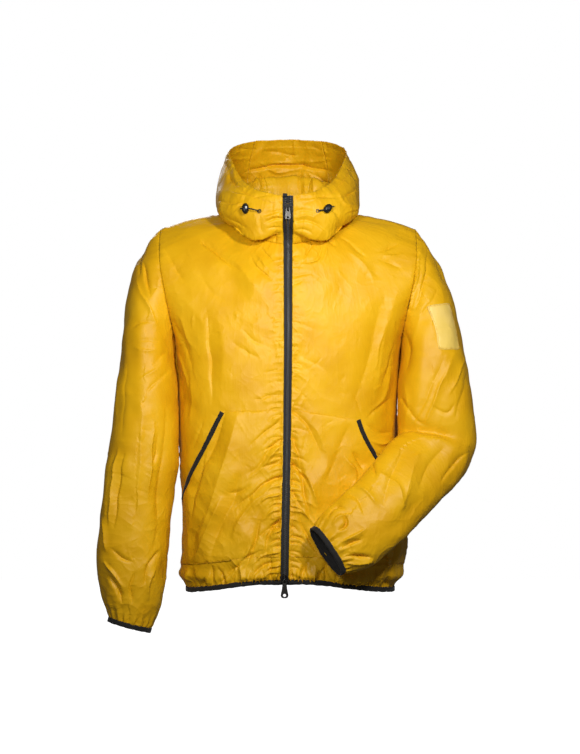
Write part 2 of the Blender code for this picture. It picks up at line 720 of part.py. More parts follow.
def pocket_outlines(suffix):
    """The patch pocket and the binding of its slanted mouth."""
    line = [Vector(p) for p in POCKET_MOUTH[suffix]]
    top = Vector((POCKET_IN, POCKET_TOP))
    foot = Vector((POCKET_IN, POCKET_BOTTOM))
    side_foot = Vector((FRONT_WIDTH - POCKET_SIDE, POCKET_BOTTOM))
    pocket = subdivided([top, line[0]], STEP)[:-1] + line
    pocket += subdivided([line[-1], side_foot, foot], STEP)[1:]
    pocket += subdivided([foot, top], PUCKER)[1:-1]
    inner = []
    for i, point in enumerate(line):
        run = (line[min(i + 1, len(line) - 1)] - line[max(i - 1, 0)]).normalized()
        inner.append(point + Vector((-run.y, run.x)) * POCKET_BINDING)
    return pocket, line + inner[::-1]


def front_panel(name, side, cloth, binding):
    top = half_outline("front")
    gathers, above_hem = hem_points(ZIP_HALF, FRONT_WIDTH - SEAM)
    zip_top = Vector((ZIP_HALF, CORNER_SEAM - yoke_length("front", ZIP_HALF / FRONT_WIDTH)))
    pucker_rows = int((BODY_LENGTH - zip_top.y) / (PUCKER / 2))
    zip_edge = [Vector((ZIP_HALF, BODY_LENGTH - i * PUCKER / 2)) for i in range(pucker_rows)]
    outline = top + gathers[::-1] + zip_edge
    outline.append(zip_top)
    by_zip = [Vector((ZIP_HALF + BESIDE_EDGE, p.y)) for p in zip_edge[::2]]
    suffix = name.split("_")[1]
    pocket, mouth = pocket_outlines(suffix)
    wanted = [(p, GATHER_ROOM) for p in above_hem + by_zip]
    wanted += [(p, FOLD_ROOM) for p in fold_points(FOLDS[name])]
    wanted += [(p, ROOM) for p in grid_of_points(outline, STEP)]
    found, triangles = triangulated(outline, [pocket, mouth], wanted)
    surface = relieved(
        lambda u, v: body_surface("front", side, u, v),
        lambda u, v: body_relief("front", FOLDS[name], u, v),
        -side,
    )
    spots = spots_of(surface, found)
    thick_cloth(name, cloth, spots, triangles, -CLOTH, 0)
    on_pocket = GAP + POCKET_CLOTH
    cut_piece("pocket_" + suffix, cloth, spots, triangles, pocket, GAP, on_pocket)
    on_top = on_pocket + GAP
    cut_piece("pocket_binding_" + suffix, binding, spots, triangles, mouth, on_top, on_top + BINDING_CLOTH)


def back_panel(cloth):
    half = half_outline("back")
    gathers, above_hem = hem_points(-BACK_WIDTH + SEAM, BACK_WIDTH - SEAM)
    outline = half + gathers[::-1] + [Vector((-p.x, p.y)) for p in reversed(half[1:])]
    wanted = [(p, GATHER_ROOM) for p in above_hem]
    wanted += [(p, FOLD_ROOM) for p in fold_points(FOLDS["back"])]
    wanted += [(p, ROOM) for p in grid_of_points(outline, STEP)]
    found, triangles = triangulated(outline, [], wanted)

    def smooth(u, v):
        return body_surface("back", 1 if u >= 0 else -1, abs(u), v)

    surface = relieved(smooth, lambda u, v: body_relief("back", FOLDS["back"], u, v), 1)
    thick_cloth("back", cloth, spots_of(surface, found), triangles, -CLOTH, 0)


# ---------------------------------------------------------------- sleeves
def sleeve_head(rows):
    """The seam to the armhole, from one side of the underarm seam to the other."""
    tops = [SLEEVE_GIRTH * (0.5 - i / HEAD_STEPS) for i in range(HEAD_STEPS + 1)]
    return [Vector((u, CORNER_SEAM - cap_length(rows, (360 * u / SLEEVE_GIRTH) % 360))) for u in tops]


def below_head(head):
    return [(Vector((p.x, p.y + BESIDE_EDGE)), HEAD_ROOM) for p in head[1:-1]]


def cuff_points(length):
    """The gathered lower edge, back across the cloth, and the rows of points above it."""
    turns = 2 * CUFF_GATHERS
    edge = [Vector((SLEEVE_GIRTH * (i / turns - 0.5), length)) for i in range(turns + 1)]
    rows = [Vector((p.x, length - GATHER_PEAK)) for p in edge[1:-1]]
    rows += [Vector((p.x, length - ABOVE_GATHERS)) for p in edge[2:-2:2]]
    return edge, [(p, GATHER_ROOM) for p in rows]


def sleeve(name, side, rows, length, flare, cloth, marks=()):
    """A tube of cloth from the armhole to the cuff, closed along the underarm seam."""
    half = SLEEVE_GIRTH / 2
    head = sleeve_head(rows)
    cuff, above_cuff = cuff_points(length)
    down = subdivided([head[-1], cuff[0]], STEP)
    up = [Vector((half, p.y)) for p in reversed(down)]
    outline = head + down[1:-1] + cuff + up[1:-1]
    wanted = above_cuff + below_head(head)
    wanted += [(p, SLEEVE_FOLD_ROOM) for p in fold_points(FOLDS[name])]
    wanted += [(p, ROOM) for p in grid_of_points(outline, STEP)]
    found, triangles = triangulated(outline, marks, wanted)
    surface = relieved(
        lambda u, v: sleeve_surface(rows, side, flare, u, v),
        lambda u, v: sleeve_relief(rows, FOLDS[name], length, u, v),
        side,
    )
    spots = spots_of(surface, found)
    if marks:
        cut_piece("sleeve_patch", cloth, spots, triangles, marks[0], GAP, GAP + POCKET_CLOTH)
    seam = {round(p.y, 6): i for i, p in enumerate(found) if p.x < -half + 1e-6}
    join = {i: seam[round(p.y, 6)] for i, p in enumerate(found) if p.x > half - 1e-6}
    closed = [tuple(join.get(i, i) for i in triangle) for triangle in triangles]
    thick_cloth(name, cloth, spots, closed, -CLOTH, 0)


def patch_outline():
    """A sewn-on patch with rounded corners on the left upper arm."""
    corner = 0.006
    outline = []
    for sx, sy, start in ((1, 1, 0), (-1, 1, 90), (-1, -1, 180), (1, -1, 270)):
        middle = PATCH_CENTRE + Vector((sx * (PATCH_SIZE.x / 2 - corner), sy * (PATCH_SIZE.y / 2 - corner)))
        for turn in (0, 45, 90):
            a = math.radians(start + turn)
            outline.append(middle + Vector((math.cos(a), math.sin(a))) * corner)
    return subdivided(outline, STEP, closed=True)


# ---------------------------------------------------------------- hood
def hood_surface(angle, row):
    """The hood through its rings: row 0 at the neck seam, the last row at the rim."""
    rows = range(HOOD_TOP + 1)
    a = math.radians(angle)
    even = 180 - abs(180 - angle)
    reach = through(rows, [through(HOOD_ANGLES, ring[0], even) for ring in HOOD_RINGS.values()], row)
    height = through(rows, [through(HOOD_ANGLES, ring[1], even) for ring in HOOD_RINGS.values()], row)
    return Vector((reach * math.sin(a), -reach * math.cos(a), height))


def hood_panel(name, side, angles, cloth):
    """A cut piece of the hood between two plan angles, given in order round the wearer's left side."""
    small = 0.05
    spots = []
    first = CORNER_SEAM / HOOD_FIRST_ROW
    rows = (first,) + HOOD_ROWS[1:]
    for angle in angles:
        for row in rows:
            point = hood_surface(angle, row)
            across = hood_surface(angle + small, row) - hood_surface(angle - small, row)
            up = hood_surface(angle, min(row + small, HOOD_TOP)) - hood_surface(angle, max(row - small, 0))
            normal = across.cross(up).normalized()
            spots.append((mirrored(point, side), mirrored(normal, side)))
    triangles = []
    tall = len(rows)
    for i in range(len(angles) - 1):
        for j in range(tall - 1):
            a, b, c, d = i * tall + j, (i + 1) * tall + j, (i + 1) * tall + j + 1, i * tall + j + 1
            triangles += [(a, b, c), (a, c, d)] if (i + j) % 2 else [(a, b, d), (b, c, d)]
    thick_cloth(name, cloth, spots, triangles, -CLOTH, 0)


# ---------------------------------------------------------------- bindings of the hem and cuffs
def binding_loop(point, outward, down):
    """A rounded section of elastic binding that hangs from a cloth edge."""
    middle = point - outward * (CLOTH / 2) + down * (BIND_DROP + BIND_HEIGHT / 2)
    half_height, half_thick, cut = BIND_HEIGHT / 2, BIND_THICK / 2, 0.0010
    corners = (
        (half_height, half_thick - cut), (half_height - cut, half_thick),
        (cut - half_height, half_thick), (-half_height, half_thick - cut),
        (-half_height, cut - half_thick), (cut - half_height, -half_thick),
        (half_height - cut, -half_thick), (half_height, cut - half_thick),
    )
    return [middle - down * along + outward * across for along, across in corners]


def round_edge(surface, u, v, down):
    """A point at the cloth's lower edge and its outward way, square to the way down."""
    small = 0.001
    across = surface(u + small, v) - surface(u - small, v)
    return surface(u, v), across.cross(down).normalized()


def hem_binding(material):
    loops = []
    front_end = FRONT_WIDTH - BIND_SKIP["front"]
    back_end = BACK_WIDTH - BIND_SKIP["back"]
    runs = [("front", -1, u) for u in shares(ZIP_HALF, front_end, BIND_STEPS)]
    runs += [("back", -1, u) for u in shares(back_end, 0.0, BIND_STEPS)]
    runs += [("back", 1, u) for u in shares(BACK_WIDTH / BIND_STEPS, back_end, BIND_STEPS - 1)]
    runs += [("front", 1, u) for u in shares(front_end, ZIP_HALF, BIND_STEPS)]
    for face, side, u in runs:
        down = Vector((0, 0, -1))
        point, outward = round_edge(lambda a, b: body_surface(face, side, a, b), u, BODY_LENGTH, down)
        loops.append(binding_loop(point, outward * (-side if face == "front" else side), down))
    loops_solid("hem_binding", material, loops)


def cuff_binding(name, side, rows, length, material):
    loops = []
    ends = [sleeve_section(rows, length, angle) for angle in (0, 90, 180)]
    down = mirrored((ends[1] - ends[0]).cross(ends[2] - ends[0]).normalized(), side)
    for i in range(2 * CUFF_GATHERS):
        u = SLEEVE_GIRTH * i / (2 * CUFF_GATHERS)
        point, outward = round_edge(lambda a, b: sleeve_surface(rows, side, 1, a, b), u, length, down)
        loops.append(binding_loop(point, outward * side, down))
    loops_solid(name, material, loops if side > 0 else loops[::-1], closed=True)


# ---------------------------------------------------------------- zip
def zip_point(across, station):
    """On the zip between the two front edges: across runs -1 to 1, a station is on the body or on the hood."""
    where, level = station
    if where == "hood":
        point = hood_surface(FRONT_HOOD_ANGLES[0] * abs(across), level)
        return Vector((math.copysign(point.x, across), point.y, point.z))
    return body_surface("front", 1 if across >= 0 else -1, ZIP_HALF * abs(across), level)


ZIP_FOOT = BODY_LENGTH + BIND_DROP + BIND_HEIGHT
BODY_STATIONS = [("body", v) for v in shares(ZIP_FOOT, CORNER_SEAM + ZIP_NECK, 44)]
HOOD_STATIONS = [("hood", row) for row in shares(0.9, HOOD_TOP, 18)]


def zip_frame(station):
    """The zip's middle, its way up and its way out of the cloth at a station."""
    where, level = station
    up_by = 0.05 if where == "hood" else -0.002
    below = zip_point(0, (where, level - up_by))
    above = zip_point(0, (where, min(level + up_by, HOOD_TOP) if where == "hood" else level + up_by))
    up = (above - below).normalized()
    return zip_point(0, station), up, Vector((1, 0, 0)).cross(up).normalized()


def zip_strip(name, material, stations, inner, outer, back, front):
    """A flat strip along the zip, between two shares of the way across and two heights off the cloth."""
    loops = []
    for station in stations:
        out = zip_frame(station)[2]
        corners = ((inner, back), (outer, back), (outer, front), (inner, front))
        loops.append([zip_point(across, station) + out * height for across, height in corners])
    return loops_solid(name, material, loops)


def slab(name, material, outline, thickness, lay):
    """An outline with a thickness; lay turns (across, along, depth) into a point."""
    half = thickness / 2
    loops = [[lay(a, b, -half) for a, b in outline], [lay(a, b, half) for a, b in outline]]
    return loops_solid(name, material, loops)


def united(base, others):
    """One closed body from pieces that overlap."""
    for other in others:
        other.hide_render = True
        other.display_type = "WIRE"
        join = base.modifiers.new("join", "BOOLEAN")
        join.operation = "UNION"
        join.object = other


def slider(name, material, station, wide_up, bridge_at):
    """A zip slider: front and back plates on a post, with an arch for the pull."""
    place, up, out = zip_frame(station)
    right = up.cross(out)
    flip = 1 if wide_up else -1

    def face_on(depth):
        return lambda a, b, d: place + right * a + up * (b * flip) + out * (depth + d)

    def side_on(a, b, d):
        return place + right * d + up * b + out * a

    low, high = SLIDER_FACE, SLIDER_FACE + ARCH_HEIGHT
    arch = (
        (low - 0.0006, -0.0041), (high - 0.0011, -0.0041), (high, -0.0028), (high, 0.0028),
        (high - 0.0011, 0.0041), (low - 0.0006, 0.0041), (low - 0.0006, 0.0029), (high - 0.0012, 0.0029),
        (high - 0.0012, -0.0029), (low - 0.0006, -0.0029),
    )
    front = slab(name, material, PLATE, PLATE_THICK, face_on(SLIDER_FACE - PLATE_THICK / 2))
    back = slab(name + "_back_plate", material, PLATE, BACK_PLATE_THICK, face_on(BACK_PLATE_AT))
    post = slab(name + "_post", material, POST, POST_LENGTH, face_on(POST_AT))
    bridge = slab(name + "_bridge", material, [(a, b + bridge_at) for a, b in arch], ARCH_WIDTH, side_on)
    united(front, [back, post, bridge])
    return place + up * bridge_at + out * (SLIDER_FACE + PULL_OFF)


def pull(name, material, hinge, half_widths, hole):
    """A flat pull that hangs from its slider's arch by a slotted end, with its origin on the hinge."""
    bar, slot_end, slot_half = 0.0007, 0.0051, 0.0017
    hole_at = 1.9 * hole - half_widths[-1][0]
    left = [Vector((-half, -z)) for z, half in half_widths]
    right = [Vector((half, -z)) for z, half in reversed(half_widths)]
    outline = left + right
    slot = [Vector(p) for p in (
        (-slot_half, -bar), (-slot_half, -slot_end), (slot_half, -slot_end), (slot_half, -bar),
    )]
    round_hole = []
    for i in range(10):
        a = 2 * math.pi * i / 10
        round_hole.append(Vector((hole * math.cos(a), hole * math.sin(a) + hole_at)))
    found, triangles = triangulated(outline, [slot, round_hole], [])
    kept = []
    for triangle in triangles:
        middle = sum((found[i] for i in triangle), Vector((0, 0))) / 3
        if not inside(slot, middle) and not inside(round_hole, middle):
            kept.append(triangle)
    spots = [(Vector((p.x, 0, p.y)), Vector((0, -1, 0)), p) for p in found]
    tab = thick_cloth(name, material, spots, kept, -PULL_THICK / 2, PULL_THICK / 2)
    tab.location = hinge


# ---------------------------------------------------------------- drawcord
def tube(name, material, route, radius, corners=6):
    loops = []
    for i, point in enumerate(route):
        way = (route[min(i + 1, len(route) - 1)] - route[max(i - 1, 0)]).normalized()
        first = way.cross(Vector((0, 0, 1))).normalized()
        second = way.cross(first)
        turns = [2 * math.pi * k / corners for k in range(corners)]
        loops.append([point + (first * math.cos(a) + second * math.sin(a)) * radius for a in turns])
    return loops_solid(name, material, loops)


def eyelet(name, material, centre, out):
    """A small flanged ring round the place where the drawcord leaves the hood."""
    first = out.cross(Vector((0, 0, 1))).normalized()
    second = out.cross(first)
    loops = []
    for i in range(12):
        a = 2 * math.pi * i / 12
        way = first * math.cos(a) + second * math.sin(a)
        corners = (
            (EYELET_OUTER, EYELET_LIFT), (EYELET_OUTER - 0.0004, EYELET_LIFT + 0.0008),
            (EYELET_INNER, EYELET_LIFT + 0.0008), (EYELET_INNER, EYELET_LIFT),
        )
        loops.append([centre + way * reach + out * lift for reach, lift in corners])
    return loops_solid(name, material, loops, closed=True)


def cord_lock(name, material, centre, size, tilt, cord_way):
    """A rounded lock with a hole for the cord; its long axis leans by the tilt."""
    mesh = bpy.data.meshes.new(name)
    shape = bmesh.new()
    bmesh.ops.create_uvsphere(shape, u_segments=12, v_segments=8, radius=1)
    for vertex in shape.verts:
        vertex.co = Vector((vertex.co.x * size.x, vertex.co.y * size.y, vertex.co.z * size.z)) / 2
    turned = Matrix.Translation(centre) @ Matrix.Rotation(tilt, 4, "Y")
    bmesh.ops.transform(shape, matrix=turned, verts=shape.verts)
    shape.to_mesh(mesh)
    shape.free()
    mesh.materials.append(material)
    lock = bpy.data.objects.new(name, mesh)
    bpy.context.scene.collection.objects.link(lock)
    drill = tube(name + "_hole", material, [centre - cord_way * 0.02, centre, centre + cord_way * 0.02], CORD_HOLE, 8)
    drill.hide_render = True
    drill.display_type = "WIRE"
    cut = lock.modifiers.new("hole", "BOOLEAN")
    cut.operation = "DIFFERENCE"
    cut.object = drill


CORD_RIGHT = (
    (-0.0488, -0.1124, -0.0118), (-0.0507, -0.1140, -0.0113), (-0.0527, -0.1149, -0.0107),
    (-0.0549, -0.1153, -0.0101), (-0.0571, -0.1151, -0.0095), (-0.0595, -0.1146, -0.0089),
    (-0.0619, -0.1136, -0.0083), (-0.0645, -0.1125, -0.0078), (-0.0671, -0.1111, -0.0074),
    (-0.0699, -0.1096, -0.0071), (-0.0727, -0.1080, -0.0070), (-0.0750, -0.1069, -0.0069),
    (-0.0772, -0.1057, -0.0068), (-0.0794, -0.1045, -0.0067), (-0.0816, -0.1033, -0.0067),
)
CORD_LEFT = (
    (0.0509, -0.1118, -0.0117), (0.0526, -0.1135, -0.0112), (0.0541, -0.1146, -0.0108),
    (0.0554, -0.1152, -0.0106), (0.0567, -0.1154, -0.0103), (0.0581, -0.1152, -0.0101),
    (0.0595, -0.1147, -0.0098), (0.0612, -0.1139, -0.0094), (0.0631, -0.1129, -0.0089),
    (0.0652, -0.1117, -0.0082), (0.0678, -0.1104, -0.0072), (0.0700, -0.1094, -0.0064),
    (0.0721, -0.1084, -0.0056), (0.0742, -0.1074, -0.0047), (0.0764, -0.1064, -0.0039),
    (0.0786, -0.1054, -0.0030),
)
LOCK_AT = 10            # the point of each route at the middle of its lock
LOCK_SIZE = {"right": Vector((0.0120, 0.0100, 0.0190)), "left": Vector((0.0130, 0.0100, 0.0175))}
LOCK_TILT = {"right": 0.0, "left": math.radians(40)}


def drawcord(suffix, route, cord_material, lock_material):
    points = [Vector(p) for p in route]
    tube("cord_" + suffix, cord_material, points, CORD_RADIUS)
    way = (points[LOCK_AT + 1] - points[LOCK_AT - 1]).normalized()
    cord_lock("cord_lock_" + suffix, lock_material, points[LOCK_AT], LOCK_SIZE[suffix], LOCK_TILT[suffix], way)
    angle, row = EYELET_PLACES[suffix]
    small = 0.05
    across = hood_surface(angle + small, row) - hood_surface(angle - small, row)
    up = hood_surface(angle, row + small) - hood_surface(angle, row - small)
    side = 1 if suffix == "left" else -1
    out = mirrored(across.cross(up).normalized(), side)
    eyelet("eyelet_" + suffix, lock_material, mirrored(hood_surface(angle, row), side), out)


# ---------------------------------------------------------------- the whole garment
def build():
    for old in list(bpy.data.objects):
        bpy.data.objects.remove(old)
    shell = finish("yellow_nylon", (0.86, 0.48, 0.025), 0.45)
    black = finish("black_elastic", (0.012, 0.012, 0.011), 0.75)
    tape = finish("black_zip_tape", (0.014, 0.014, 0.015), 0.70)
    teeth = finish("dark_moulded_teeth", (0.05, 0.05, 0.05), 0.40)
    metal = finish("gunmetal", (0.30, 0.29, 0.28), 0.30, 1.0)
    plastic = finish("black_plastic", (0.010, 0.010, 0.010), 0.35)

    front_panel("front_right", -1, shell, black)
    front_panel("front_left", 1, shell, black)
    back_panel(shell)
    sleeve("sleeve_right", -1, RIGHT_SLEEVE, RIGHT_LENGTH, RIGHT_FLARE, shell)
    sleeve("sleeve_left", 1, LEFT_SLEEVE, LEFT_LENGTH, LEFT_FLARE, shell, [patch_outline()])
    side_angles = FRONT_HOOD_ANGLES + BACK_HOOD_ANGLES[1:4] + (HOOD_CENTRE_ANGLE - HOOD_SEAM_TURN,)
    hood_panel("hood_side_right", -1, side_angles, shell)
    hood_panel("hood_side_left", 1, side_angles, shell)
    edge = HOOD_CENTRE_ANGLE + HOOD_SEAM_TURN
    hood_panel("hood_centre", 1, (edge, 166, 180, 194, 360 - edge), shell)

    hem_binding(black)
    cuff_binding("cuff_binding_right", -1, RIGHT_SLEEVE, RIGHT_LENGTH, black)
    cuff_binding("cuff_binding_left", 1, LEFT_SLEEVE, LEFT_LENGTH, black)

    whole_zip = BODY_STATIONS + HOOD_STATIONS
    zip_strip("zip_tape_right", tape, whole_zip, -TAPE_IN, -TAPE_OUT, TAPE_BACK, TAPE_FRONT)
    zip_strip("zip_tape_left", tape, whole_zip, TAPE_IN, TAPE_OUT, TAPE_BACK, TAPE_FRONT)
    under_slider = [station for station in HOOD_STATIONS if station[1] < CHAIN_HEAD]
    closed_zip = [("body", CHAIN_FOOT)] + BODY_STATIONS[2:] + under_slider
    zip_strip("zip_chain", teeth, closed_zip, -CHAIN_OUT, CHAIN_OUT, CHAIN_BACK, CHAIN_FRONT)
    top_hinge = slider("slider_top", metal, TOP_SLIDER, True, 0.0)
    bottom_hinge = slider("slider_bottom", metal, BOTTOM_SLIDER, False, BOTTOM_ARCH_AT)
    pull("pull_top", metal, top_hinge, TOP_PULL, PULL_HOLE["top"])
    pull("pull_bottom", metal, bottom_hinge, BOTTOM_PULL, PULL_HOLE["bottom"])

    drawcord("right", CORD_RIGHT, black, plastic)
    drawcord("left", CORD_LEFT, black, plastic)


build()
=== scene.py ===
import math
import random

import bmesh
import bpy
import numpy as np
from mathutils import Matrix, Vector
from mathutils.bvhtree import BVHTree
from mathutils.kdtree import KDTree


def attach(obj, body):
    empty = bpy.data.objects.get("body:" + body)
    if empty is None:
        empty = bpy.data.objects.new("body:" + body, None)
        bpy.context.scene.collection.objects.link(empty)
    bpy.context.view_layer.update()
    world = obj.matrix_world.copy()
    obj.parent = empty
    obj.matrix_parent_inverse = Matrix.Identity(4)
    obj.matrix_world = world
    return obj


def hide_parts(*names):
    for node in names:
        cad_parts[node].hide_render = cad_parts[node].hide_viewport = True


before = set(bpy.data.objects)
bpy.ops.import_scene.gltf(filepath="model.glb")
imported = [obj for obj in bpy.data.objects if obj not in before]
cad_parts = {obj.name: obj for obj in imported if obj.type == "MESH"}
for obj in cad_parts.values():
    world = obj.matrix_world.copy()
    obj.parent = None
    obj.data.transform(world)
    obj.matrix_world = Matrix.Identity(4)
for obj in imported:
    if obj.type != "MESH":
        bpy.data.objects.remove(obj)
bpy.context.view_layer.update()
scene = bpy.context.scene
scene.view_settings.view_transform = "Standard"
print("frame loaded,", len(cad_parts), "nodes")

# Camera: level, straight at the chest, from four metres.
cameraSetup = {"place": (0.0035, -4.0, -0.294), "lens": 109.13, "sensor": 36.0, "width": 580, "height": 754}
cameraData = bpy.data.cameras.new("camera")
cameraData.lens = cameraSetup["lens"]
cameraData.sensor_width = cameraSetup["sensor"]
camera = bpy.data.objects.new("camera", cameraData)
camera.location = cameraSetup["place"]
camera.rotation_euler = (math.radians(90), 0, 0)
scene.collection.objects.link(camera)
scene.camera = camera


def linear(hexColour):
    # sRGB hex to the linear values that the shaders take
    parts = [int(hexColour[i:i + 2], 16) / 255 for i in (1, 3, 5)]
    return tuple(c / 12.92 if c <= 0.04045 else ((c + 0.055) / 1.055) ** 2.4 for c in parts) + (1.0,)


def addNode(tree, kind, inputs=(), **settings):
    # one node with its settings; an input is a value or another node's socket
    node = tree.nodes.new(kind)
    for name, value in settings.items():
        setattr(node, name, value)
    for name, value in dict(inputs).items():
        if isinstance(value, bpy.types.NodeSocket):
            tree.links.new(value, node.inputs[name])
        else:
            node.inputs[name].default_value = value
    return node


def startMaterial(name, **values):
    material = bpy.data.materials.new(name)
    material.use_nodes = True
    tree = material.node_tree
    shader = tree.nodes["Principled BSDF"]
    for key, value in values.items():
        shader.inputs[key].default_value = value
    return material, tree, shader


def ramp(tree, factor, stops):
    # a colour ramp with its stops, (position, hex colour)
    node = addNode(tree, "ShaderNodeValToRGB", {"Fac": factor})
    elements = node.color_ramp.elements
    while len(elements) < len(stops):
        elements.new(0.5)
    for element, (position, colour) in zip(elements, stops):
        element.position = position
        element.color = linear(colour)
    return node


# Nylon taffeta: plain weave, dyed in the piece and calendered. It gives a soft sheen, faint streaks
# along the warp and crinkles that never press out, most of them by seams. Threads are 0.2 mm apart,
# drawn 0.9 mm to show. Sizes are in metres: the two ridge patterns, their depths, and the streaks.
nylonLook = {
    "colour": "#DDA60A", "shade": "#D59C08", "light": "#E3AE14", "threadPitch": 0.0009,
    "crumple": 0.030, "crumpleDepth": 0.0034, "creases": 0.012, "creaseDepth": 0.0011,
    "streak": 0.0030, "streakDepth": 0.0010, "threadDepth": 0.0002, "bend": 0.030}


def bandScale(pitch):
    # the wave texture's scale for bands that repeat at this pitch
    return 1 / pitch / 6.283


def nylonTaffeta(name, look):
    material, tree, shader = startMaterial(
        name, **{"Roughness": 0.46, "Specular IOR Level": 0.26, "Sheen Weight": 0.03,
                 "Sheen Roughness": 0.4, "Sheen Tint": linear("#FFE08A")})
    place = addNode(tree, "ShaderNodeUVMap", uv_map="cloth")
    uv = place.outputs["UV"]
    cloudy = addNode(tree, "ShaderNodeTexNoise", {"Vector": uv, "Scale": 14.0, "Detail": 4.0})
    tone = ramp(tree, cloudy.outputs["Fac"], [
        (0.30, look["shade"]), (0.50, look["colour"]), (0.72, look["light"])])
    tree.links.new(tone.outputs["Color"], shader.inputs["Base Color"])
    # crumpled folds: sharp ridges with smooth cloth between, in two sizes, drawn out along the warp
    bend = addNode(tree, "ShaderNodeTexNoise", {"Vector": uv, "Scale": 22.0, "Detail": 2.0})
    shift = addNode(tree, "ShaderNodeVectorMath", {
        0: bend.outputs["Color"], 1: (look["bend"], look["bend"], 0.0)}, operation="MULTIPLY")
    bent = addNode(tree, "ShaderNodeVectorMath", {0: uv, 1: shift.outputs["Vector"]}, operation="ADD")
    drawn = addNode(tree, "ShaderNodeVectorMath", {
        0: bent.outputs["Vector"], 1: (1.0, 0.75, 1.0)}, operation="MULTIPLY")
    facets, small = (addNode(tree, "ShaderNodeTexNoise", {
        "Vector": drawn.outputs["Vector"], "Scale": 1 / look[size], "Detail": 1.0, "Roughness": 0.4,
        "Offset": 0.9, "Gain": 0.8}, noise_type="RIDGED_MULTIFRACTAL") for size in ("crumple", "creases"))
    share = addNode(tree, "ShaderNodeAttribute", attribute_name="crinkle")
    stretched = addNode(tree, "ShaderNodeMapping", {
        "Vector": uv, "Scale": (1 / look["streak"], 0.09 / look["streak"], 1.0)})
    streaks = addNode(tree, "ShaderNodeTexNoise", {
        "Vector": stretched.outputs["Vector"], "Scale": 1.0, "Detail": 3.0, "Distortion": 0.3})
    warp, weft = (addNode(tree, "ShaderNodeTexWave", {
        "Vector": uv, "Scale": bandScale(look["threadPitch"]), "Distortion": 0.3},
        wave_type="BANDS", bands_direction=way) for way in "XY")
    weave = addNode(tree, "ShaderNodeMath", {
        0: warp.outputs["Fac"], 1: weft.outputs["Fac"]}, operation="MULTIPLY")
    bump = None
    for height, strength, distance in (
            (facets.outputs["Fac"], share.outputs["Fac"], look["crumpleDepth"]),
            (small.outputs["Fac"], share.outputs["Fac"], look["creaseDepth"]),
            (streaks.outputs["Fac"], 0.22, look["streakDepth"]),
            (weave.outputs["Value"], 0.10, look["threadDepth"])):
        inputs = {"Height": height, "Strength": strength, "Distance": distance}
        if bump:
            inputs["Normal"] = bump.outputs["Normal"]
        bump = addNode(tree, "ShaderNodeBump", inputs)
    tree.links.new(bump.outputs["Normal"], shader.inputs["Normal"])
    return material


shellNylon = nylonTaffeta("calendered_nylon_taffeta", nylonLook)
# The patch is the same taffeta with a pale coating, which is smoother and lighter.
patchNylon = nylonTaffeta("coated_nylon_patch", {
    **nylonLook, "colour": "#E9C660", "shade": "#E3BD54", "light": "#EECC74", "threadPitch": 0.0007})

# Folded elastic: knitted polyester over rubber. Matt, near black, with ribs 1.1 mm apart along its length.
elasticLook = {"colour": "#131210", "worn": "#25221F", "rib": 0.0011, "ribDepth": 0.0004}


def ribbedElastic(look):
    material, tree, shader = startMaterial(
        "knitted_elastic", **{"Roughness": 0.80, "Specular IOR Level": 0.3, "Sheen Weight": 0.1})
    place = addNode(tree, "ShaderNodeUVMap", uv_map="cloth")
    speck = addNode(tree, "ShaderNodeTexNoise", {
        "Vector": place.outputs["UV"], "Scale": 900.0, "Detail": 2.0})
    tone = ramp(tree, speck.outputs["Fac"], [(0.35, look["colour"]), (0.7, look["worn"])])
    tree.links.new(tone.outputs["Color"], shader.inputs["Base Color"])
    ribs = addNode(tree, "ShaderNodeTexWave", {
        "Vector": place.outputs["UV"], "Scale": bandScale(look["rib"]), "Distortion": 0.4},
        wave_type="BANDS", bands_direction="Y")
    first = addNode(tree, "ShaderNodeBump", {
        "Height": ribs.outputs["Fac"], "Strength": 0.5, "Distance": look["ribDepth"]})
    second = addNode(tree, "ShaderNodeBump", {
        "Height": speck.outputs["Fac"], "Strength": 0.35, "Distance": look["ribDepth"],
        "Normal": first.outputs["Normal"]})
    tree.links.new(second.outputs["Normal"], shader.inputs["Normal"])
    return material


blackElastic = ribbedElastic(elasticLook)

# Woven polyester tape: herringbone 0.8 mm apart, matt, charcoal under a studio light.
tapeLook = {"colour": "#0B0B0C", "raised": "#161617", "pitch": 0.0008, "depth": 0.0002}


def wovenTape(look):
    material, tree, shader = startMaterial("woven_zip_tape", **{"Roughness": 0.75})
    place = addNode(tree, "ShaderNodeTexCoord")
    twill = addNode(tree, "ShaderNodeTexWave", {
        "Vector": place.outputs["Object"], "Scale": bandScale(look["pitch"]), "Distortion": 0.5},
        wave_type="BANDS", bands_direction="DIAGONAL")
    tone = ramp(tree, twill.outputs["Fac"], [(0.3, look["colour"]), (0.8, look["raised"])])
    tree.links.new(tone.outputs["Color"], shader.inputs["Base Color"])
    bump = addNode(tree, "ShaderNodeBump", {
        "Height": twill.outputs["Fac"], "Strength": 0.3, "Distance": look["depth"]})
    tree.links.new(bump.outputs["Normal"], shader.inputs["Normal"])
    return material


zipTape = wovenTape(tapeLook)


def plainFinish(name, colour, roughness, metallic=0.0, grain=400.0, depth=0.15):
    # a moulded, plated or spun finish: a slight cloudiness in its roughness and a grain 1/grain metres wide
    material, tree, shader = startMaterial(name, **{"Metallic": metallic, "Base Color": linear(colour)})
    place = addNode(tree, "ShaderNodeTexCoord")
    cloud = addNode(tree, "ShaderNodeTexNoise", {
        "Vector": place.outputs["Object"], "Scale": grain, "Detail": 3.0})
    rough = addNode(tree, "ShaderNodeMapRange", {
        "Value": cloud.outputs["Fac"], "To Min": roughness - 0.06, "To Max": roughness + 0.08})
    tree.links.new(rough.outputs["Result"], shader.inputs["Roughness"])
    bump = addNode(tree, "ShaderNodeBump", {
        "Height": cloud.outputs["Fac"], "Strength": depth, "Distance": 0.0002})
    tree.links.new(bump.outputs["Normal"], shader.inputs["Normal"])
    return material


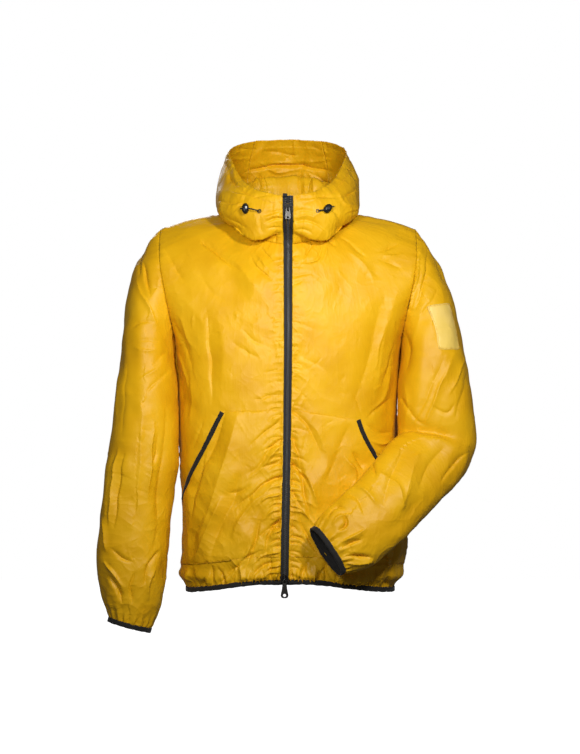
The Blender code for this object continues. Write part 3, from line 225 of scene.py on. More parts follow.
# Acetal, injection moulded: dark grey with small clear highlights.
mouldedTeeth = plainFinish("moulded_acetal_teeth", "#3F3E3C", 0.30)
# The woven edge of the tapes behind the teeth: matt black, so that the teeth stand out from it.
chainEdge = plainFinish("woven_chain_edge", "#0C0C0C", 0.7)
# Zinc, die cast and gunmetal plated: a dark metal with soft reflections.
gunmetalPlate = plainFinish("gunmetal_plated_zinc", "#4A4845", 0.34, metallic=1.0, grain=200.0, depth=0.05)
# Nylon 6, injection moulded with a light polish: near black, with one clear highlight.
mouldedNylon = plainFinish("moulded_nylon_lock", "#141414", 0.30)
# Spun polyester thread in the shell's yellow: fuzzy, with no shine.
sewingThread = plainFinish("polyester_thread", "#E0A20A", 0.6, grain=2500.0, depth=0.4)
# Polyester cord, tightly braided: matt black with a fine broken surface.
braidedCord = plainFinish("braided_polyester_cord", "#171717", 0.7, grain=1500.0, depth=0.5)
print("materials made")


def linkPiece(name, mesh, material):
    piece = bpy.data.objects.new(name, mesh)
    mesh.materials.clear()
    mesh.materials.append(material)
    scene.collection.objects.link(piece)
    return piece


def meshOf(name, points, faces):
    mesh = bpy.data.meshes.new(name)
    mesh.vertices.add(len(points))
    mesh.vertices.foreach_set("co", np.asarray(points, float).ravel())
    corners = np.asarray(faces, int)
    mesh.loops.add(corners.size)
    mesh.loops.foreach_set("vertex_index", corners.ravel())
    mesh.polygons.add(len(corners))
    mesh.polygons.foreach_set("loop_start", np.arange(len(corners)) * corners.shape[1])
    mesh.polygons.foreach_set("use_smooth", np.ones(len(corners), bool))
    mesh.update(calc_edges=True)
    return mesh


# Drawcord ends: braided, limp, each from its eyelet into its lock; the routes are the solids' own.
cordSetup = {
    "radius": 0.0011,
    "right": [
        (-0.0488, -0.1124, -0.0118), (-0.0507, -0.1140, -0.0113), (-0.0527, -0.1149, -0.0107),
        (-0.0549, -0.1153, -0.0101), (-0.0571, -0.1151, -0.0095), (-0.0595, -0.1146, -0.0089),
        (-0.0619, -0.1136, -0.0083), (-0.0645, -0.1125, -0.0078), (-0.0671, -0.1111, -0.0074),
        (-0.0699, -0.1096, -0.0071), (-0.0727, -0.1080, -0.0070), (-0.0750, -0.1069, -0.0069),
        (-0.0772, -0.1057, -0.0068), (-0.0794, -0.1045, -0.0067), (-0.0816, -0.1033, -0.0067)],
    "left": [
        (0.0509, -0.1118, -0.0117), (0.0526, -0.1135, -0.0112), (0.0541, -0.1146, -0.0108),
        (0.0554, -0.1152, -0.0106), (0.0567, -0.1154, -0.0103), (0.0581, -0.1152, -0.0101),
        (0.0595, -0.1147, -0.0098), (0.0612, -0.1139, -0.0094), (0.0631, -0.1129, -0.0089),
        (0.0652, -0.1117, -0.0082), (0.0678, -0.1104, -0.0072), (0.0700, -0.1094, -0.0064),
        (0.0721, -0.1084, -0.0056), (0.0742, -0.1074, -0.0047), (0.0764, -0.1064, -0.0039),
        (0.0786, -0.1054, -0.0030)],
}
for side in ("right", "left"):
    route = [Vector(p) for p in cordSetup[side]]
    cordCurve = bpy.data.curves.new("drawcord_" + side, "CURVE")
    cordCurve.dimensions = "3D"
    cordCurve.bevel_depth = cordSetup["radius"]
    cordCurve.bevel_resolution = 3
    cordCurve.use_fill_caps = True
    line = cordCurve.splines.new("POLY")
    line.points.add(len(route) - 1)
    for point, place in zip(line.points, route):
        point.co = (*place, 1)
    cordCurve.materials.append(braidedCord)
    cordPiece = bpy.data.objects.new("drawcord_" + side, cordCurve)
    scene.collection.objects.link(cordPiece)
    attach(cordPiece, "jacket")
    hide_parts("cord_" + side)
print("drawcords made")


# Cloth: every cut piece's outer face is taken from its solids, cut finer, eased and then creased.
clothSetup = {
    "thickness": 0.0005,     # wall that shows
    "edges": (0.021, 0.012, 0.0082),   # longest edge left after each round of cutting
    "ease": 3,               # rounds of easing after each cut
    "creaseRounds": 3,       # further cuts, only where a crease bends the cloth
    "creaseError": 0.00016,  # an edge is cut where its middle would lie this far off the crease
    "shortest": 0.0019,      # and not below this length
    "atSeam": 0.0046,        # longest edge within the reach of a seam
    "seamReach": 0.0080,     # how far from a seam the cloth follows it
    "seamDip": 0.0004,       # how deep a seam lies
    "sewn": (0.006, 0.004),  # edges nearer than this are sewn together, before and after the creases
    "free": 0.007,           # edges further than this from any other piece are the hood's rim
    "creaseWidth": 0.58,     # creases narrower or wider
    "creaseDepth": (1.5, 1.0, 2.1),   # of folds at the shoulders, on the chest, low down
    "hoodDepth": 1.35,       # of folds on the hood
    "wide": 4.6,             # folds of this half width or more, in pixels, keep it
    "pixel": 0.00175,        # one pixel of the picture, at the garment
    "girth": 0.16,           # mean radius of the body, to lay its pattern flat
}
# piece: its wall, a way that finds the outer face, material slot, the panel that it lies on
clothPieces = {
    "front_right": (0.0015, (0, -1, 0), "shell_nylon", None),
    "front_left": (0.0015, (0, -1, 0), "shell_nylon", None),
    "back": (0.0015, (0, 1, 0), "shell_nylon", None),
    "sleeve_right": (0.0015, (-1, 0, 0), "shell_nylon", None),
    "sleeve_left": (0.0015, (1, 0, 0), "shell_nylon", None),
    "hood_side_right": (0.0015, (0, -1, 0), "shell_nylon", None),
    "hood_side_left": (0.0015, (0, -1, 0), "shell_nylon", None),
    "hood_centre": (0.0015, (0, 1, 0), "shell_nylon", None),
    "pocket_right": (0.0011, (0, -1, 0), "shell_nylon", "front_right"),
    "pocket_left": (0.0011, (0, -1, 0), "shell_nylon", "front_left"),
    "sleeve_patch": (0.0011, (1, 0, 0), "patch_nylon", "sleeve_left"),
    "pocket_binding_right": (0.0012, (0, -1, 0), "elastic_binding", "front_right"),
    "pocket_binding_left": (0.0012, (0, -1, 0), "elastic_binding", "front_left"),
}


def outerFace(name, wall, way):
    # the outer face of a closed wall: drop the rim between its two faces, keep the one furthest along a way
    shape = bmesh.new()
    shape.from_mesh(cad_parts[name].data)
    bmesh.ops.remove_doubles(shape, verts=shape.verts, dist=2e-6)
    bmesh.ops.dissolve_degenerate(shape, dist=1e-6, edges=shape.edges)
    rim = [e for e in shape.edges if abs(e.calc_length() - wall) < 4e-5 and len(e.link_faces) == 2]
    rimFaces = {f for e in rim for f in e.link_faces}
    bmesh.ops.delete(shape, geom=list(rimFaces), context="FACES_ONLY")
    start = max((v for v in shape.verts if v.link_faces), key=lambda v: v.co.dot(Vector(way)))
    kept = {start}
    front = [start]
    while front:
        for edge in front.pop().link_edges:
            for other in edge.verts:
                if edge.link_faces and other not in kept:
                    kept.add(other)
                    front.append(other)
    bmesh.ops.delete(shape, geom=[v for v in shape.verts if v not in kept], context="VERTS")
    bmesh.ops.triangulate(shape, faces=shape.faces)
    return arraysOf(shape)


def arraysOf(shape):
    # the points and triangles of a bmesh, which is freed
    shape.verts.index_update()
    points = np.array([v.co for v in shape.verts], float)
    faces = np.array([[v.index for v in f.verts] for f in shape.faces], int)
    shape.free()
    return points, faces


def faceEdges(points, faces):
    # every edge once, the edge numbers of each face, and which edges lie on the border
    ends = np.stack([faces, np.roll(faces, -1, axis=1)], axis=2)
    low, high = ends.min(axis=2), ends.max(axis=2)
    keys, numbers, counts = np.unique(low * len(points) + high, return_inverse=True, return_counts=True)
    edges = np.stack([keys // len(points), keys % len(points)], axis=1)
    return edges, numbers.reshape(faces.shape), counts == 1


def cutEdges(points, faces, edges, numbers, marked):
    # cuts the marked edges in half, and each face's longest edge with them, so that no sliver is left
    lengths = np.linalg.norm(points[edges[:, 0]] - points[edges[:, 1]], axis=1)
    longest = numbers[np.arange(len(faces)), lengths[numbers].argmax(axis=1)]
    for turn in range(4):
        marked = marked.copy()
        marked[longest[marked[numbers].any(axis=1)]] = True
    fresh = np.cumsum(marked) - 1 + len(points)
    middles = points[edges[marked]].mean(axis=1)
    place = np.where(marked, fresh, -1)[numbers]
    count = (place >= 0).sum(axis=1)
    kept = [faces[count == 0]]
    for hits in (1, 2, 3):
        rows = count == hits
        corners, cuts = faces[rows], place[rows]
        # turn each face so that its cut edges come first
        if hits == 1:
            turn = (cuts >= 0).argmax(axis=1)
        elif hits == 2:
            turn = ((cuts < 0).argmax(axis=1) + 1) % 3
        else:
            turn = np.zeros(len(corners), int)
        order = (turn[:, None] + np.arange(3)) % 3
        a, b, c = np.take_along_axis(corners, order, axis=1).T
        ab, bc, ca = np.take_along_axis(cuts, order, axis=1).T
        if hits == 1:
            kept += [np.stack(t, axis=1) for t in ((a, ab, c), (ab, b, c))]
        elif hits == 2:
            kept += [np.stack(t, axis=1) for t in ((ab, b, bc), (a, ab, bc), (a, bc, c))]
        else:
            kept += [np.stack(t, axis=1) for t in ((a, ab, ca), (ab, b, bc), (ca, bc, c), (ab, bc, ca))]
    return np.concatenate([points, middles]), np.concatenate(kept)


def gathered(index, values, count):
    # sums of the values that share an index
    return np.stack([np.bincount(index, values[:, k], count) for k in range(values.shape[1])], axis=1)


def neighbourMean(points, edges):
    count = len(points)
    ends = np.concatenate([edges[:, 0], edges[:, 1]])
    others = np.concatenate([edges[:, 1], edges[:, 0]])
    return gathered(ends, points[others], count) / np.maximum(np.bincount(ends, minlength=count), 1)[:, None]


def eased(points, faces, rounds):
    # evens out the cut facets without shrinking them; borders only move along themselves, corners stay
    edges, numbers, border = faceEdges(points, faces)
    rimEdges = edges[border]
    onBorder = np.zeros(len(points), bool)
    onBorder[rimEdges.ravel()] = True
    lengths = np.linalg.norm(points[rimEdges[:, 0]] - points[rimEdges[:, 1]], axis=1)
    spans = np.bincount(rimEdges.ravel(), np.repeat(lengths, 2), len(points))
    bend = np.linalg.norm(neighbourMean(points, rimEdges) - points, axis=1)
    corner = onBorder & (bend > 0.17 * np.maximum(spans, 1e-9))
    for turn in range(rounds):
        for step in (0.5, -0.52):
            target = np.where(
                onBorder[:, None], neighbourMean(points, rimEdges), neighbourMean(points, edges))
            move = (target - points) * step
            move[corner] = 0
            points = points + move
    return points


def normalsOf(points, faces):
    a, b, c = (points[faces[:, k]] for k in range(3))
    across = np.cross(b - a, c - a)
    normals = gathered(faces.ravel(), np.repeat(across, 3, axis=0), len(points))
    return normals / np.maximum(np.linalg.norm(normals, axis=1), 1e-12)[:, None]


def fineCloth(name, wall, way):
    points, faces = outerFace(name, wall, way)
    for longest in clothSetup["edges"]:
        for again in range(2):
            edges, numbers, border = faceEdges(points, faces)
            lengths = np.linalg.norm(points[edges[:, 0]] - points[edges[:, 1]], axis=1)
            points, faces = cutEdges(points, faces, edges, numbers, lengths > longest)
        points = eased(points, faces, clothSetup["ease"])
    return points, faces


cloth = {name: list(fineCloth(name, *setup[:2])) for name, setup in clothPieces.items()}
print("cloth cut finer:", sum(len(faces) for points, faces in cloth.values()), "triangles")


def treeOf(places):
    tree = KDTree(max(len(places), 1))
    for i, place in enumerate(places):
        tree.insert(place, i)
    tree.balance()
    return tree


def borderOf(name):
    edges, numbers, border = faceEdges(*cloth[name])
    return np.unique(edges[border])


def alongBorder(name, count=6):
    # places along a piece's border, a few to each of its edges
    points, faces = cloth[name]
    edges, numbers, border = faceEdges(points, faces)
    share = np.arange(count)[:, None, None] / count
    return (points[edges[border, 0]] * (1 - share) + points[edges[border, 1]] * share).reshape(-1, 3)


def closeSeams(reach, dip):
    # sewn edges meet halfway and dip a little, as cloth turned in at a seam does
    rims = {name: alongBorder(name) for name in sewnPieces}
    moved = {}
    for name in sewnPieces:
        points, faces = cloth[name]
        tree = treeOf(np.concatenate([rims[other] for other in sewnPieces if other != name]))
        normals = normalsOf(points, faces)
        edge = borderOf(name)
        shifts = np.zeros((len(edge), 3))
        for k, i in enumerate(edge):
            place, index, distance = tree.find(points[i])
            if distance < reach:
                shifts[k] = (np.array(place) - points[i]) / 2 - normals[i] * dip
        near = treeOf(points[edge])
        found = [near.find(place) for place in points]
        which = np.array([f[1] for f in found])
        distance = np.array([f[2] for f in found])
        weight = np.clip(1 - distance / clothSetup["seamReach"], 0, 1) ** 2
        moved[name] = points + shifts[which] * weight[:, None]
    for name in sewnPieces:
        cloth[name][0] = moved[name]


sewnPieces = [name for name, setup in clothPieces.items() if setup[3] is None]
closeSeams(clothSetup["sewn"][0], clothSetup["seamDip"])
borderPlaces = {name: cloth[name][0][borderOf(name)] for name in clothPieces}
borderTrees = {name: treeOf(places) for name, places in borderPlaces.items()}
rimTrees = {}
for name in ("hood_side_right", "hood_side_left", "hood_centre"):
    # the hood's free rim: edge places with no other piece near
    others = [borderTrees[other] for other in sewnPieces if other != name]
    rimTrees[name] = treeOf([
        place for place in borderPlaces[name] if min(t.find(place)[2] for t in others) > clothSetup["free"]])
bindingTrees = {name: treeOf([v.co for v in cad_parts[name].data.vertices])
                for name in ("hem_binding", "cuff_binding_right", "cuff_binding_left")}
print("seams closed")


def seenAt(points):
    # where points show in the picture, in its pixels, so that creases can be placed there
    depth = points[:, 1] - cameraSetup["place"][1]
    scale = cameraSetup["height"] * cameraSetup["lens"] / cameraSetup["sensor"] / depth
    across = cameraSetup["width"] / 2 + (points[:, 0] - cameraSetup["place"][0]) * scale
    down = cameraSetup["height"] / 2 - (points[:, 2] - cameraSetup["place"][2]) * scale
    return np.stack([across, down], axis=1)


def curved(corners, pieces=6):
    # a smooth line through given corners
    line = [Vector(c) for c in corners]
    if len(line) == 2:
        return [line[0].lerp(line[1], i / pieces) for i in range(pieces + 1)]
    line = [line[0] * 2 - line[1]] + line + [line[-1] * 2 - line[-2]]
    out = []
    for a, b, c, d in zip(line, line[1:], line[2:], line[3:]):
        for i in range(pieces):
            t = i / pieces
            out.append(0.5 * (2 * b + (c - a) * t + (2 * a - 5 * b + 4 * c - d) * t * t
                              + (3 * b - a - 3 * c + d) * t ** 3))
    return out + [line[-2]]


# One crease's section and run, in its own widths: how far it reaches, how its line wanders, how much steeper
# and longer its two sides are, and the low rims beside it.
creaseForm = {
    "reach": 3.6, "wander": 0.3, "steep": 0.75, "long": 1.1, "rims": 0.12, "rimAt": 2.2, "lean": 0.4}


def creaseHeight(flat, order, sortedDown, corners, width, depth, taper, lean, wave):
    # height of one crease over flat places, its width in their unit
    line = np.array([tuple(p) for p in curved(corners)])
    width = width * (1 if width >= clothSetup["wide"] else clothSetup["creaseWidth"])
    lean = lean or math.copysign(creaseForm["lean"], math.sin(2.6 * wave + 1))
    low, high = line.min(axis=0) - creaseForm["reach"] * width, line.max(axis=0) + creaseForm["reach"] * width
    first, last = np.searchsorted(sortedDown, (low[1], high[1]))
    near = order[first:last]
    near = near[(flat[near, 0] > low[0]) & (flat[near, 0] < high[0])]
    if not len(near):
        return near, np.zeros(0)
    steps = np.diff(line, axis=0)
    runs = np.maximum(np.linalg.norm(steps, axis=1), 1e-9)
    ways = steps / runs[:, None]
    start = np.concatenate([[0], np.cumsum(runs)])
    offset = flat[near][:, None] - line[None, :-1]
    along = np.clip((offset * ways).sum(axis=2), 0, runs)
    distance = np.linalg.norm(offset - along[:, :, None] * ways, axis=2)
    pick = distance.argmin(axis=1)
    rows = np.arange(len(near))
    best, way, offset = distance[rows, pick], ways[pick], offset[rows, pick]
    side = offset[:, 1] * way[:, 0] - offset[:, 0] * way[:, 1]
    share = (start[pick] + along[rows, pick]) / start[-1]
    wander = width * creaseForm["wander"] * np.sin(share * start[-1] / width * 0.35 + wave)
    signed = np.copysign(best, side) + wander
    steep = width * np.where(signed > 0, 1 - creaseForm["steep"] * lean, 1 + creaseForm["long"] * lean)
    fade = np.sin(np.pi * share) ** 0.8 if taper == "both" else np.cos(share * np.pi / 2)
    core = np.exp(-np.abs(signed) / (steep * (0.45 + 0.55 * fade)))
    rims = creaseForm["rims"] * np.exp(
        -((np.abs(signed) - creaseForm["rimAt"] * steep) / (creaseForm["rimAt"] / 2 * steep)) ** 2)
    return near, depth * (core - rims) * fade * (1 + 0.12 * np.sin(share * 5 + 2.3 * wave))


# Creases of the front: depth in mm (a trough is below 0), half width in pixels, lean, how it
# ends, and its line across the picture. "from" is deepest at its start, where a seam or the zip pulls it.
frontCreases = {
    "front_right": [
        (-2.6, 4.0, 0.5, "from", (203, 243), (218, 255), (243, 273)),
        (-2.2, 2.4, -0.5, "both", (249, 253), (259, 269), (276, 282)),
        (-1.8, 2.2, -0.4, "both", (261, 246), (268, 256), (276, 265)),
        (1.6, 3.0, 0.3, "both", (254, 250), (264, 265), (275, 274)),
        (-1.5, 4.0, 0.3, "both", (162, 246), (172, 262), (184, 282)),
        (1.6, 5.0, 0.0, "both", (226, 258), (240, 266), (262, 292)),
        (-2.4, 3.2, 0.6, "both", (207, 306), (209, 344), (211, 368), (212, 408)),
        (1.8, 5.5, 0.0, "both", (219, 318), (221, 350), (222, 392)),
        (-1.8, 2.6, 0.3, "both", (240, 328), (256, 342), (272, 349)),
        (-1.3, 2.6, 0.2, "both", (228, 338), (246, 352), (262, 358)),
        (1.4, 5.0, 0.0, "both", (236, 312), (256, 326), (278, 334)),
        (-1.6, 2.0, 0.3, "both", (250, 401), (262, 399), (267, 396), (280, 395)),
        (2.6, 3.0, -0.4, "both", (168, 324), (175, 349), (184, 366), (188, 392)),
        (-2.6, 3.2, 0.3, "both", (172, 316), (179, 334), (188, 352), (193, 376)),
        (2.2, 2.8, 0.4, "both", (178, 312), (186, 334), (194, 352)),
        (-2.4, 2.8, 0.2, "both", (176, 362), (181, 384), (183, 412)),
        (1.8, 3.0, 0.2, "both", (190, 372), (192, 400), (190, 430)),
        (-1.4, 5.0, 0.0, "both", (196, 262), (212, 292), (232, 306)),
        (1.2, 7.0, 0.0, "both", (180, 292), (200, 322), (204, 352)),
        (-2.2, 3.0, 0.5, "from", (281, 418), (272, 427), (256, 439), (246, 450)),
        (-2.8, 3.4, 0.5, "from", (281, 439), (269, 450), (258, 466), (246, 476)),
        (1.8, 4.0, 0.0, "from", (281, 447), (268, 459), (256, 474), (240, 484)),
        (-2.2, 2.8, 0.4, "from", (281, 460), (268, 465), (256, 470)),
        (-3.0, 3.6, 0.6, "from", (281, 476), (266, 483), (253, 493), (238, 504), (232, 514)),
        (2.0, 4.5, 0.0, "both", (270, 492), (254, 502), (240, 518), (232, 540)),
        (-1.8, 3.4, 0.2, "both", (252, 484), (242, 490), (228, 493)),
        (-3.6, 3.6, 0.5, "from", (281, 519), (273, 526), (268, 538), (265, 562)),
        (-2.0, 2.8, -0.3, "both", (262, 512), (258, 530), (252, 552), (243, 572)),
        (4.2, 8.0, 0.3, "both", (240, 412), (232, 446), (216, 484), (204, 520), (196, 550)),
        (-3.6, 6.0, -0.3, "both", (228, 408), (214, 440), (200, 470), (190, 496)),
        (-3.2, 6.0, 0.4, "both", (238, 470), (232, 500), (220, 530), (210, 560)),
        (3.0, 5.0, 0.4, "both", (222, 494), (214, 520), (202, 544), (191, 562)),
        (-2.0, 4.0, 0.0, "both", (205, 452), (196, 486), (190, 520)),
        (-2.2, 3.0, 0.3, "both", (262, 550), (246, 558), (236, 570)),
        (2.2, 3.5, 0.0, "both", (252, 540), (244, 560), (232, 576)),
        (-2.4, 2.4, 0.3, "from", (250, 581), (256, 572), (266, 565), (276, 563)),
        (-1.8, 2.6, 0.3, "from", (222, 581), (232, 571), (246, 562)),
        (-1.4, 2.0, 0.0, "both", (203, 420), (199, 434), (190, 452)),
    ],
    "front_left": [
        (-2.4, 2.4, 0.4, "both", (296, 264), (308, 262), (318, 258), (322, 247), (320, 238)),
        (-2.0, 2.0, -0.4, "both", (315, 242), (308, 252), (303, 260)),
        (1.8, 2.6, 0.0, "both", (322, 262), (326, 250), (326, 240)),
        (-2.2, 2.6, 0.3, "both", (335, 247), (330, 240), (326, 236)),
        (-1.8, 3.0, 0.0, "both", (340, 238), (352, 244), (366, 258)),
        (1.6, 4.0, 0.3, "both", (346, 250), (362, 262), (374, 282)),
        (-1.8, 3.0, 0.3, "both", (374, 252), (388, 249), (400, 243)),
        (-1.8, 3.0, -0.3, "both", (378, 259), (392, 264), (402, 268)),
        (1.6, 3.5, 0.0, "both", (382, 256), (394, 256), (404, 252)),
        (-1.6, 2.2, 0.3, "from", (294, 277), (304, 274), (316, 275)),
        (-1.6, 2.2, 0.3, "from", (294, 284), (303, 281), (311, 283)),
        (-1.2, 3.0, 0.2, "from", (294, 322), (312, 328), (330, 332)),
        (-2.0, 3.2, 0.4, "from", (294, 351), (306, 359), (322, 368), (338, 386)),
        (-1.8, 3.0, 0.4, "from", (294, 360), (302, 366), (310, 376)),
        (-2.4, 3.4, 0.4, "from", (294, 385), (304, 397), (314, 413)),
        (1.6, 4.0, 0.0, "from", (294, 372), (310, 384), (326, 404)),
        (3.4, 6.0, 0.3, "both", (398, 284), (388, 326), (378, 366), (370, 408)),
        (-2.6, 5.0, -0.2, "both", (386, 296), (372, 340), (362, 384), (352, 412)),
        (2.2, 3.0, 0.0, "both", (386, 320), (379, 346), (374, 374)),
        (-2.2, 3.0, 0.4, "both", (396, 336), (389, 364), (380, 392)),
        (2.4, 3.4, 0.0, "both", (391, 372), (386, 392), (372, 412)),
        (-1.6, 2.0, 0.0, "both", (354, 392), (358, 404), (363, 418)),
        (-2.4, 2.6, 0.3, "both", (390, 398), (378, 408), (367, 418)),
        (-2.8, 3.4, 0.3, "both", (366, 424), (380, 432), (394, 432)),
        (2.4, 3.4, 0.0, "both", (370, 440), (382, 444), (394, 440)),
        (-1.8, 3.0, 0.0, "both", (373, 452), (384, 456), (392, 450)),
        (-2.8, 4.0, 0.4, "from", (293, 412), (308, 426), (317, 444), (322, 466)),
        (2.2, 5.0, 0.0, "both", (302, 420), (318, 432), (330, 458)),
        (-2.4, 3.0, 0.4, "from", (292, 436), (298, 455), (305, 480), (315, 496)),
        (-3.6, 3.6, 0.5, "from", (292, 464), (301, 478), (306, 502), (311, 526)),
        (2.4, 4.0, 0.0, "both", (300, 470), (312, 486), (318, 510)),
        (-2.0, 2.6, 0.3, "from", (292, 492), (300, 506), (302, 522)),
        (-2.2, 2.6, 0.3, "both", (300, 520), (308, 538), (320, 556)),
        (2.0, 4.0, 0.0, "both", (312, 520), (322, 548), (336, 572)),
        (-2.6, 3.0, 0.3, "both", (352, 452), (360, 462), (364, 470)),
        (2.4, 3.0, 0.0, "both", (344, 456), (354, 468), (356, 480)),
        (-2.0, 5.0, 0.0, "both", (352, 424), (338, 450), (322, 488)),
        (-2.6, 3.0, 0.2, "both", (372, 560), (384, 556), (398, 560)),
        (2.2, 3.0, 0.0, "both", (364, 568), (380, 564), (396, 566)),
        (-2.6, 3.0, 0.2, "both", (398, 536), (396, 552), (390, 572)),
        (2.0, 3.0, 0.0, "both", (388, 546), (386, 562), (380, 578)),
    ],
    "sleeve_right": [
        (-3.2, 2.4, 0.5, "both", (143, 262), (146, 280), (150, 298)),
        (2.6, 2.8, 0.0, "both", (135, 278), (142, 294), (152, 312), (158, 330)),
        (-2.2, 2.4, 0.3, "both", (139, 276), (140, 262), (146, 246)),
        (-2.2, 2.8, 0.3, "both", (130, 330), (140, 323), (156, 321)),
        (-1.8, 2.4, 0.3, "both", (136, 341), (148, 340), (160, 342)),
        (1.8, 3.4, 0.0, "both", (134, 348), (148, 350), (160, 348)),
        (-2.2, 3.0, 0.3, "both", (152, 366), (160, 358), (168, 352)),
        (-2.2, 3.0, 0.3, "both", (146, 392), (158, 381), (170, 368)),
        (2.0, 4.0, 0.0, "both", (140, 380), (154, 370), (164, 360)),
        (2.2, 2.4, 0.3, "both", (121, 352), (118, 386), (115, 424)),
        (-1.8, 2.6, 0.0, "both", (127, 360), (124, 396), (121, 440)),
        (2.4, 2.4, 0.3, "both", (118, 446), (112, 486), (108, 526)),
        (-1.8, 3.0, 0.0, "both", (124, 450), (118, 492), (114, 530)),
        (1.8, 5.0, 0.0, "both", (146, 402), (140, 450), (136, 500)),
        (-2.8, 5.0, 0.4, "both", (168, 402), (163, 446), (160, 492), (156, 530), (151, 556)),
        (2.6, 4.0, 0.0, "both", (154, 420), (151, 462), (148, 504)),
        (-1.6, 2.4, 0.0, "both", (158, 432), (156, 452), (150, 470)),
        (2.2, 2.4, 0.3, "both", (102, 516), (104, 534), (106, 552)),
        (-2.4, 3.2, 0.3, "both", (162, 548), (149, 564), (144, 588)),
        (1.8, 3.4, 0.0, "both", (156, 566), (150, 582), (148, 602)),
        (-3.0, 3.2, 0.4, "both", (108, 576), (117, 588), (121, 604)),
        (2.4, 3.0, 0.0, "both", (104, 560), (114, 574), (124, 588)),
        (-1.8, 2.8, 0.3, "both", (110, 548), (121, 558), (134, 562)),
        (-2.2, 2.6, 0.0, "both", (134, 572), (130, 588), (132, 604)),
    ],
    "sleeve_left": [
        (-3.2, 2.6, 0.5, "both", (418, 240), (412, 266), (407, 284)),
        (2.8, 2.8, 0.0, "both", (420, 248), (417, 278), (411, 300), (405, 322)),
        (-2.6, 2.8, 0.4, "both", (428, 252), (424, 282), (414, 312)),
        (-2.2, 2.8, 0.3, "both", (438, 288), (432, 300), (420, 318)),
        (-1.8, 3.4, 0.0, "both", (430, 252), (440, 268), (446, 284)),
        (1.8, 5.0, 0.0, "both", (424, 300), (418, 330), (410, 360)),
        (3.0, 3.4, 0.3, "both", (456, 350), (446, 372), (432, 406), (424, 430)),
        (-2.4, 4.0, -0.3, "both", (446, 352), (434, 382), (420, 410), (410, 430)),
        (2.2, 2.6, 0.0, "both", (466, 354), (458, 378), (448, 398)),
        (-2.0, 3.0, 0.3, "both", (470, 366), (462, 394), (454, 420)),
        (-2.4, 2.6, 0.3, "both", (456, 402), (447, 412), (430, 406)),
        (-2.4, 3.4, 0.3, "both", (404, 330), (410, 352), (404, 376)),
        (1.8, 4.0, 0.0, "both", (402, 380), (408, 402), (404, 424)),
        (-2.2, 3.0, 0.3, "both", (398, 392), (412, 416), (430, 428)),
        (-2.6, 3.0, 0.3, "both", (326, 518), (335, 507), (346, 508)),
        (2.0, 3.0, 0.0, "both", (330, 526), (340, 516), (352, 514)),
        (-2.8, 2.6, 0.3, "both", (336, 533), (346, 524), (344, 512)),
        (-3.0, 2.6, 0.3, "both", (339, 549), (351, 544), (362, 540)),
        (2.6, 2.6, 0.0, "both", (340, 543), (352, 537), (366, 528)),
        (-3.2, 2.8, 0.3, "both", (342, 559), (358, 557), (374, 559)),
        (2.6, 2.6, 0.0, "both", (342, 565), (360, 564), (374, 562)),
        (-2.2, 2.6, 0.3, "both", (369, 456), (372, 466), (376, 478)),
        (2.4, 5.0, 0.0, "both", (376, 470), (396, 486), (404, 510)),
        (-2.2, 5.0, 0.3, "both", (402, 448), (392, 474), (384, 506)),
        (-2.0, 5.0, 0.0, "both", (446, 446), (430, 466), (416, 494)),
        (2.0, 6.0, 0.0, "both", (424, 446), (410, 476), (400, 512)),
        (-1.8, 4.0, 0.0, "both", (344, 492), (358, 500), (366, 516)),
        (2.0, 4.0, 0.0, "both", (352, 484), (368, 492), (378, 508)),
        (-1.8, 3.0, 0.0, "both", (470, 452), (456, 462), (440, 484)),
    ],
    "hood_side_right": [
        (-2.2, 2.4, 0.3, "both", (227, 176), (236, 185), (244, 187)),
        (2.2, 2.6, 0.0, "both", (226, 190), (236, 194), (248, 196)),
        (-2.2, 2.2, 0.4, "both", (217, 200), (232, 204), (243, 200)),
        (-1.8, 2.0, 0.0, "both", (232, 214), (240, 206), (252, 203)),
        (-1.6, 2.0, 0.3, "both", (250, 200), (262, 196), (274, 196)),
        (-2.2, 2.2, 0.4, "both", (262, 216), (275, 212), (285, 211)),
        (-2.4, 2.4, 0.4, "both", (263, 223), (275, 219), (285, 220)),
        (1.8, 2.4, 0.0, "both", (265, 219), (276, 216), (285, 216)),
        (-1.8, 2.2, 0.0, "both", (266, 229), (276, 227), (285, 228)),
        (-1.6, 3.2, 0.3, "both", (260, 214), (260, 224), (262, 236)),
        (-3.2, 2.4, 0.3, "both", (278, 230), (275, 238), (274, 246)),
        (-1.8, 3.0, 0.3, "both", (222, 160), (228, 170), (230, 184)),
        (2.0, 3.0, 0.0, "both", (232, 168), (238, 182), (250, 194)),
        (-1.6, 3.0, 0.0, "both", (222, 214), (234, 222), (248, 232)),
    ],
    "hood_side_left": [
        (-1.8, 2.2, 0.3, "both", (293, 212), (305, 210), (318, 213)),
        (-2.6, 2.4, 0.4, "both", (295, 223), (305, 220), (316, 224), (328, 232)),
        (1.8, 2.4, 0.0, "both", (294, 218), (306, 215), (316, 218)),
        (-1.6, 2.2, 0.3, "both", (294, 230), (304, 230), (314, 234)),
        (-1.8, 2.4, 0.3, "both", (294, 199), (322, 197), (346, 197)),
        (-2.4, 2.2, 0.4, "both", (343, 197), (353, 192), (360, 187)),
        (-1.8, 2.0, 0.0, "both", (349, 172), (354, 178), (358, 187)),
        (-1.8, 2.0, 0.0, "both", (343, 168), (350, 170), (356, 172)),
        (-1.8, 2.2, 0.0, "both", (345, 215), (352, 212), (360, 209)),
        (1.8, 3.0, 0.0, "both", (338, 192), (346, 204), (356, 206)),
        (-1.6, 3.2, 0.0, "both", (326, 204), (336, 214), (344, 226)),
    ],
    "hood_centre": [],
}
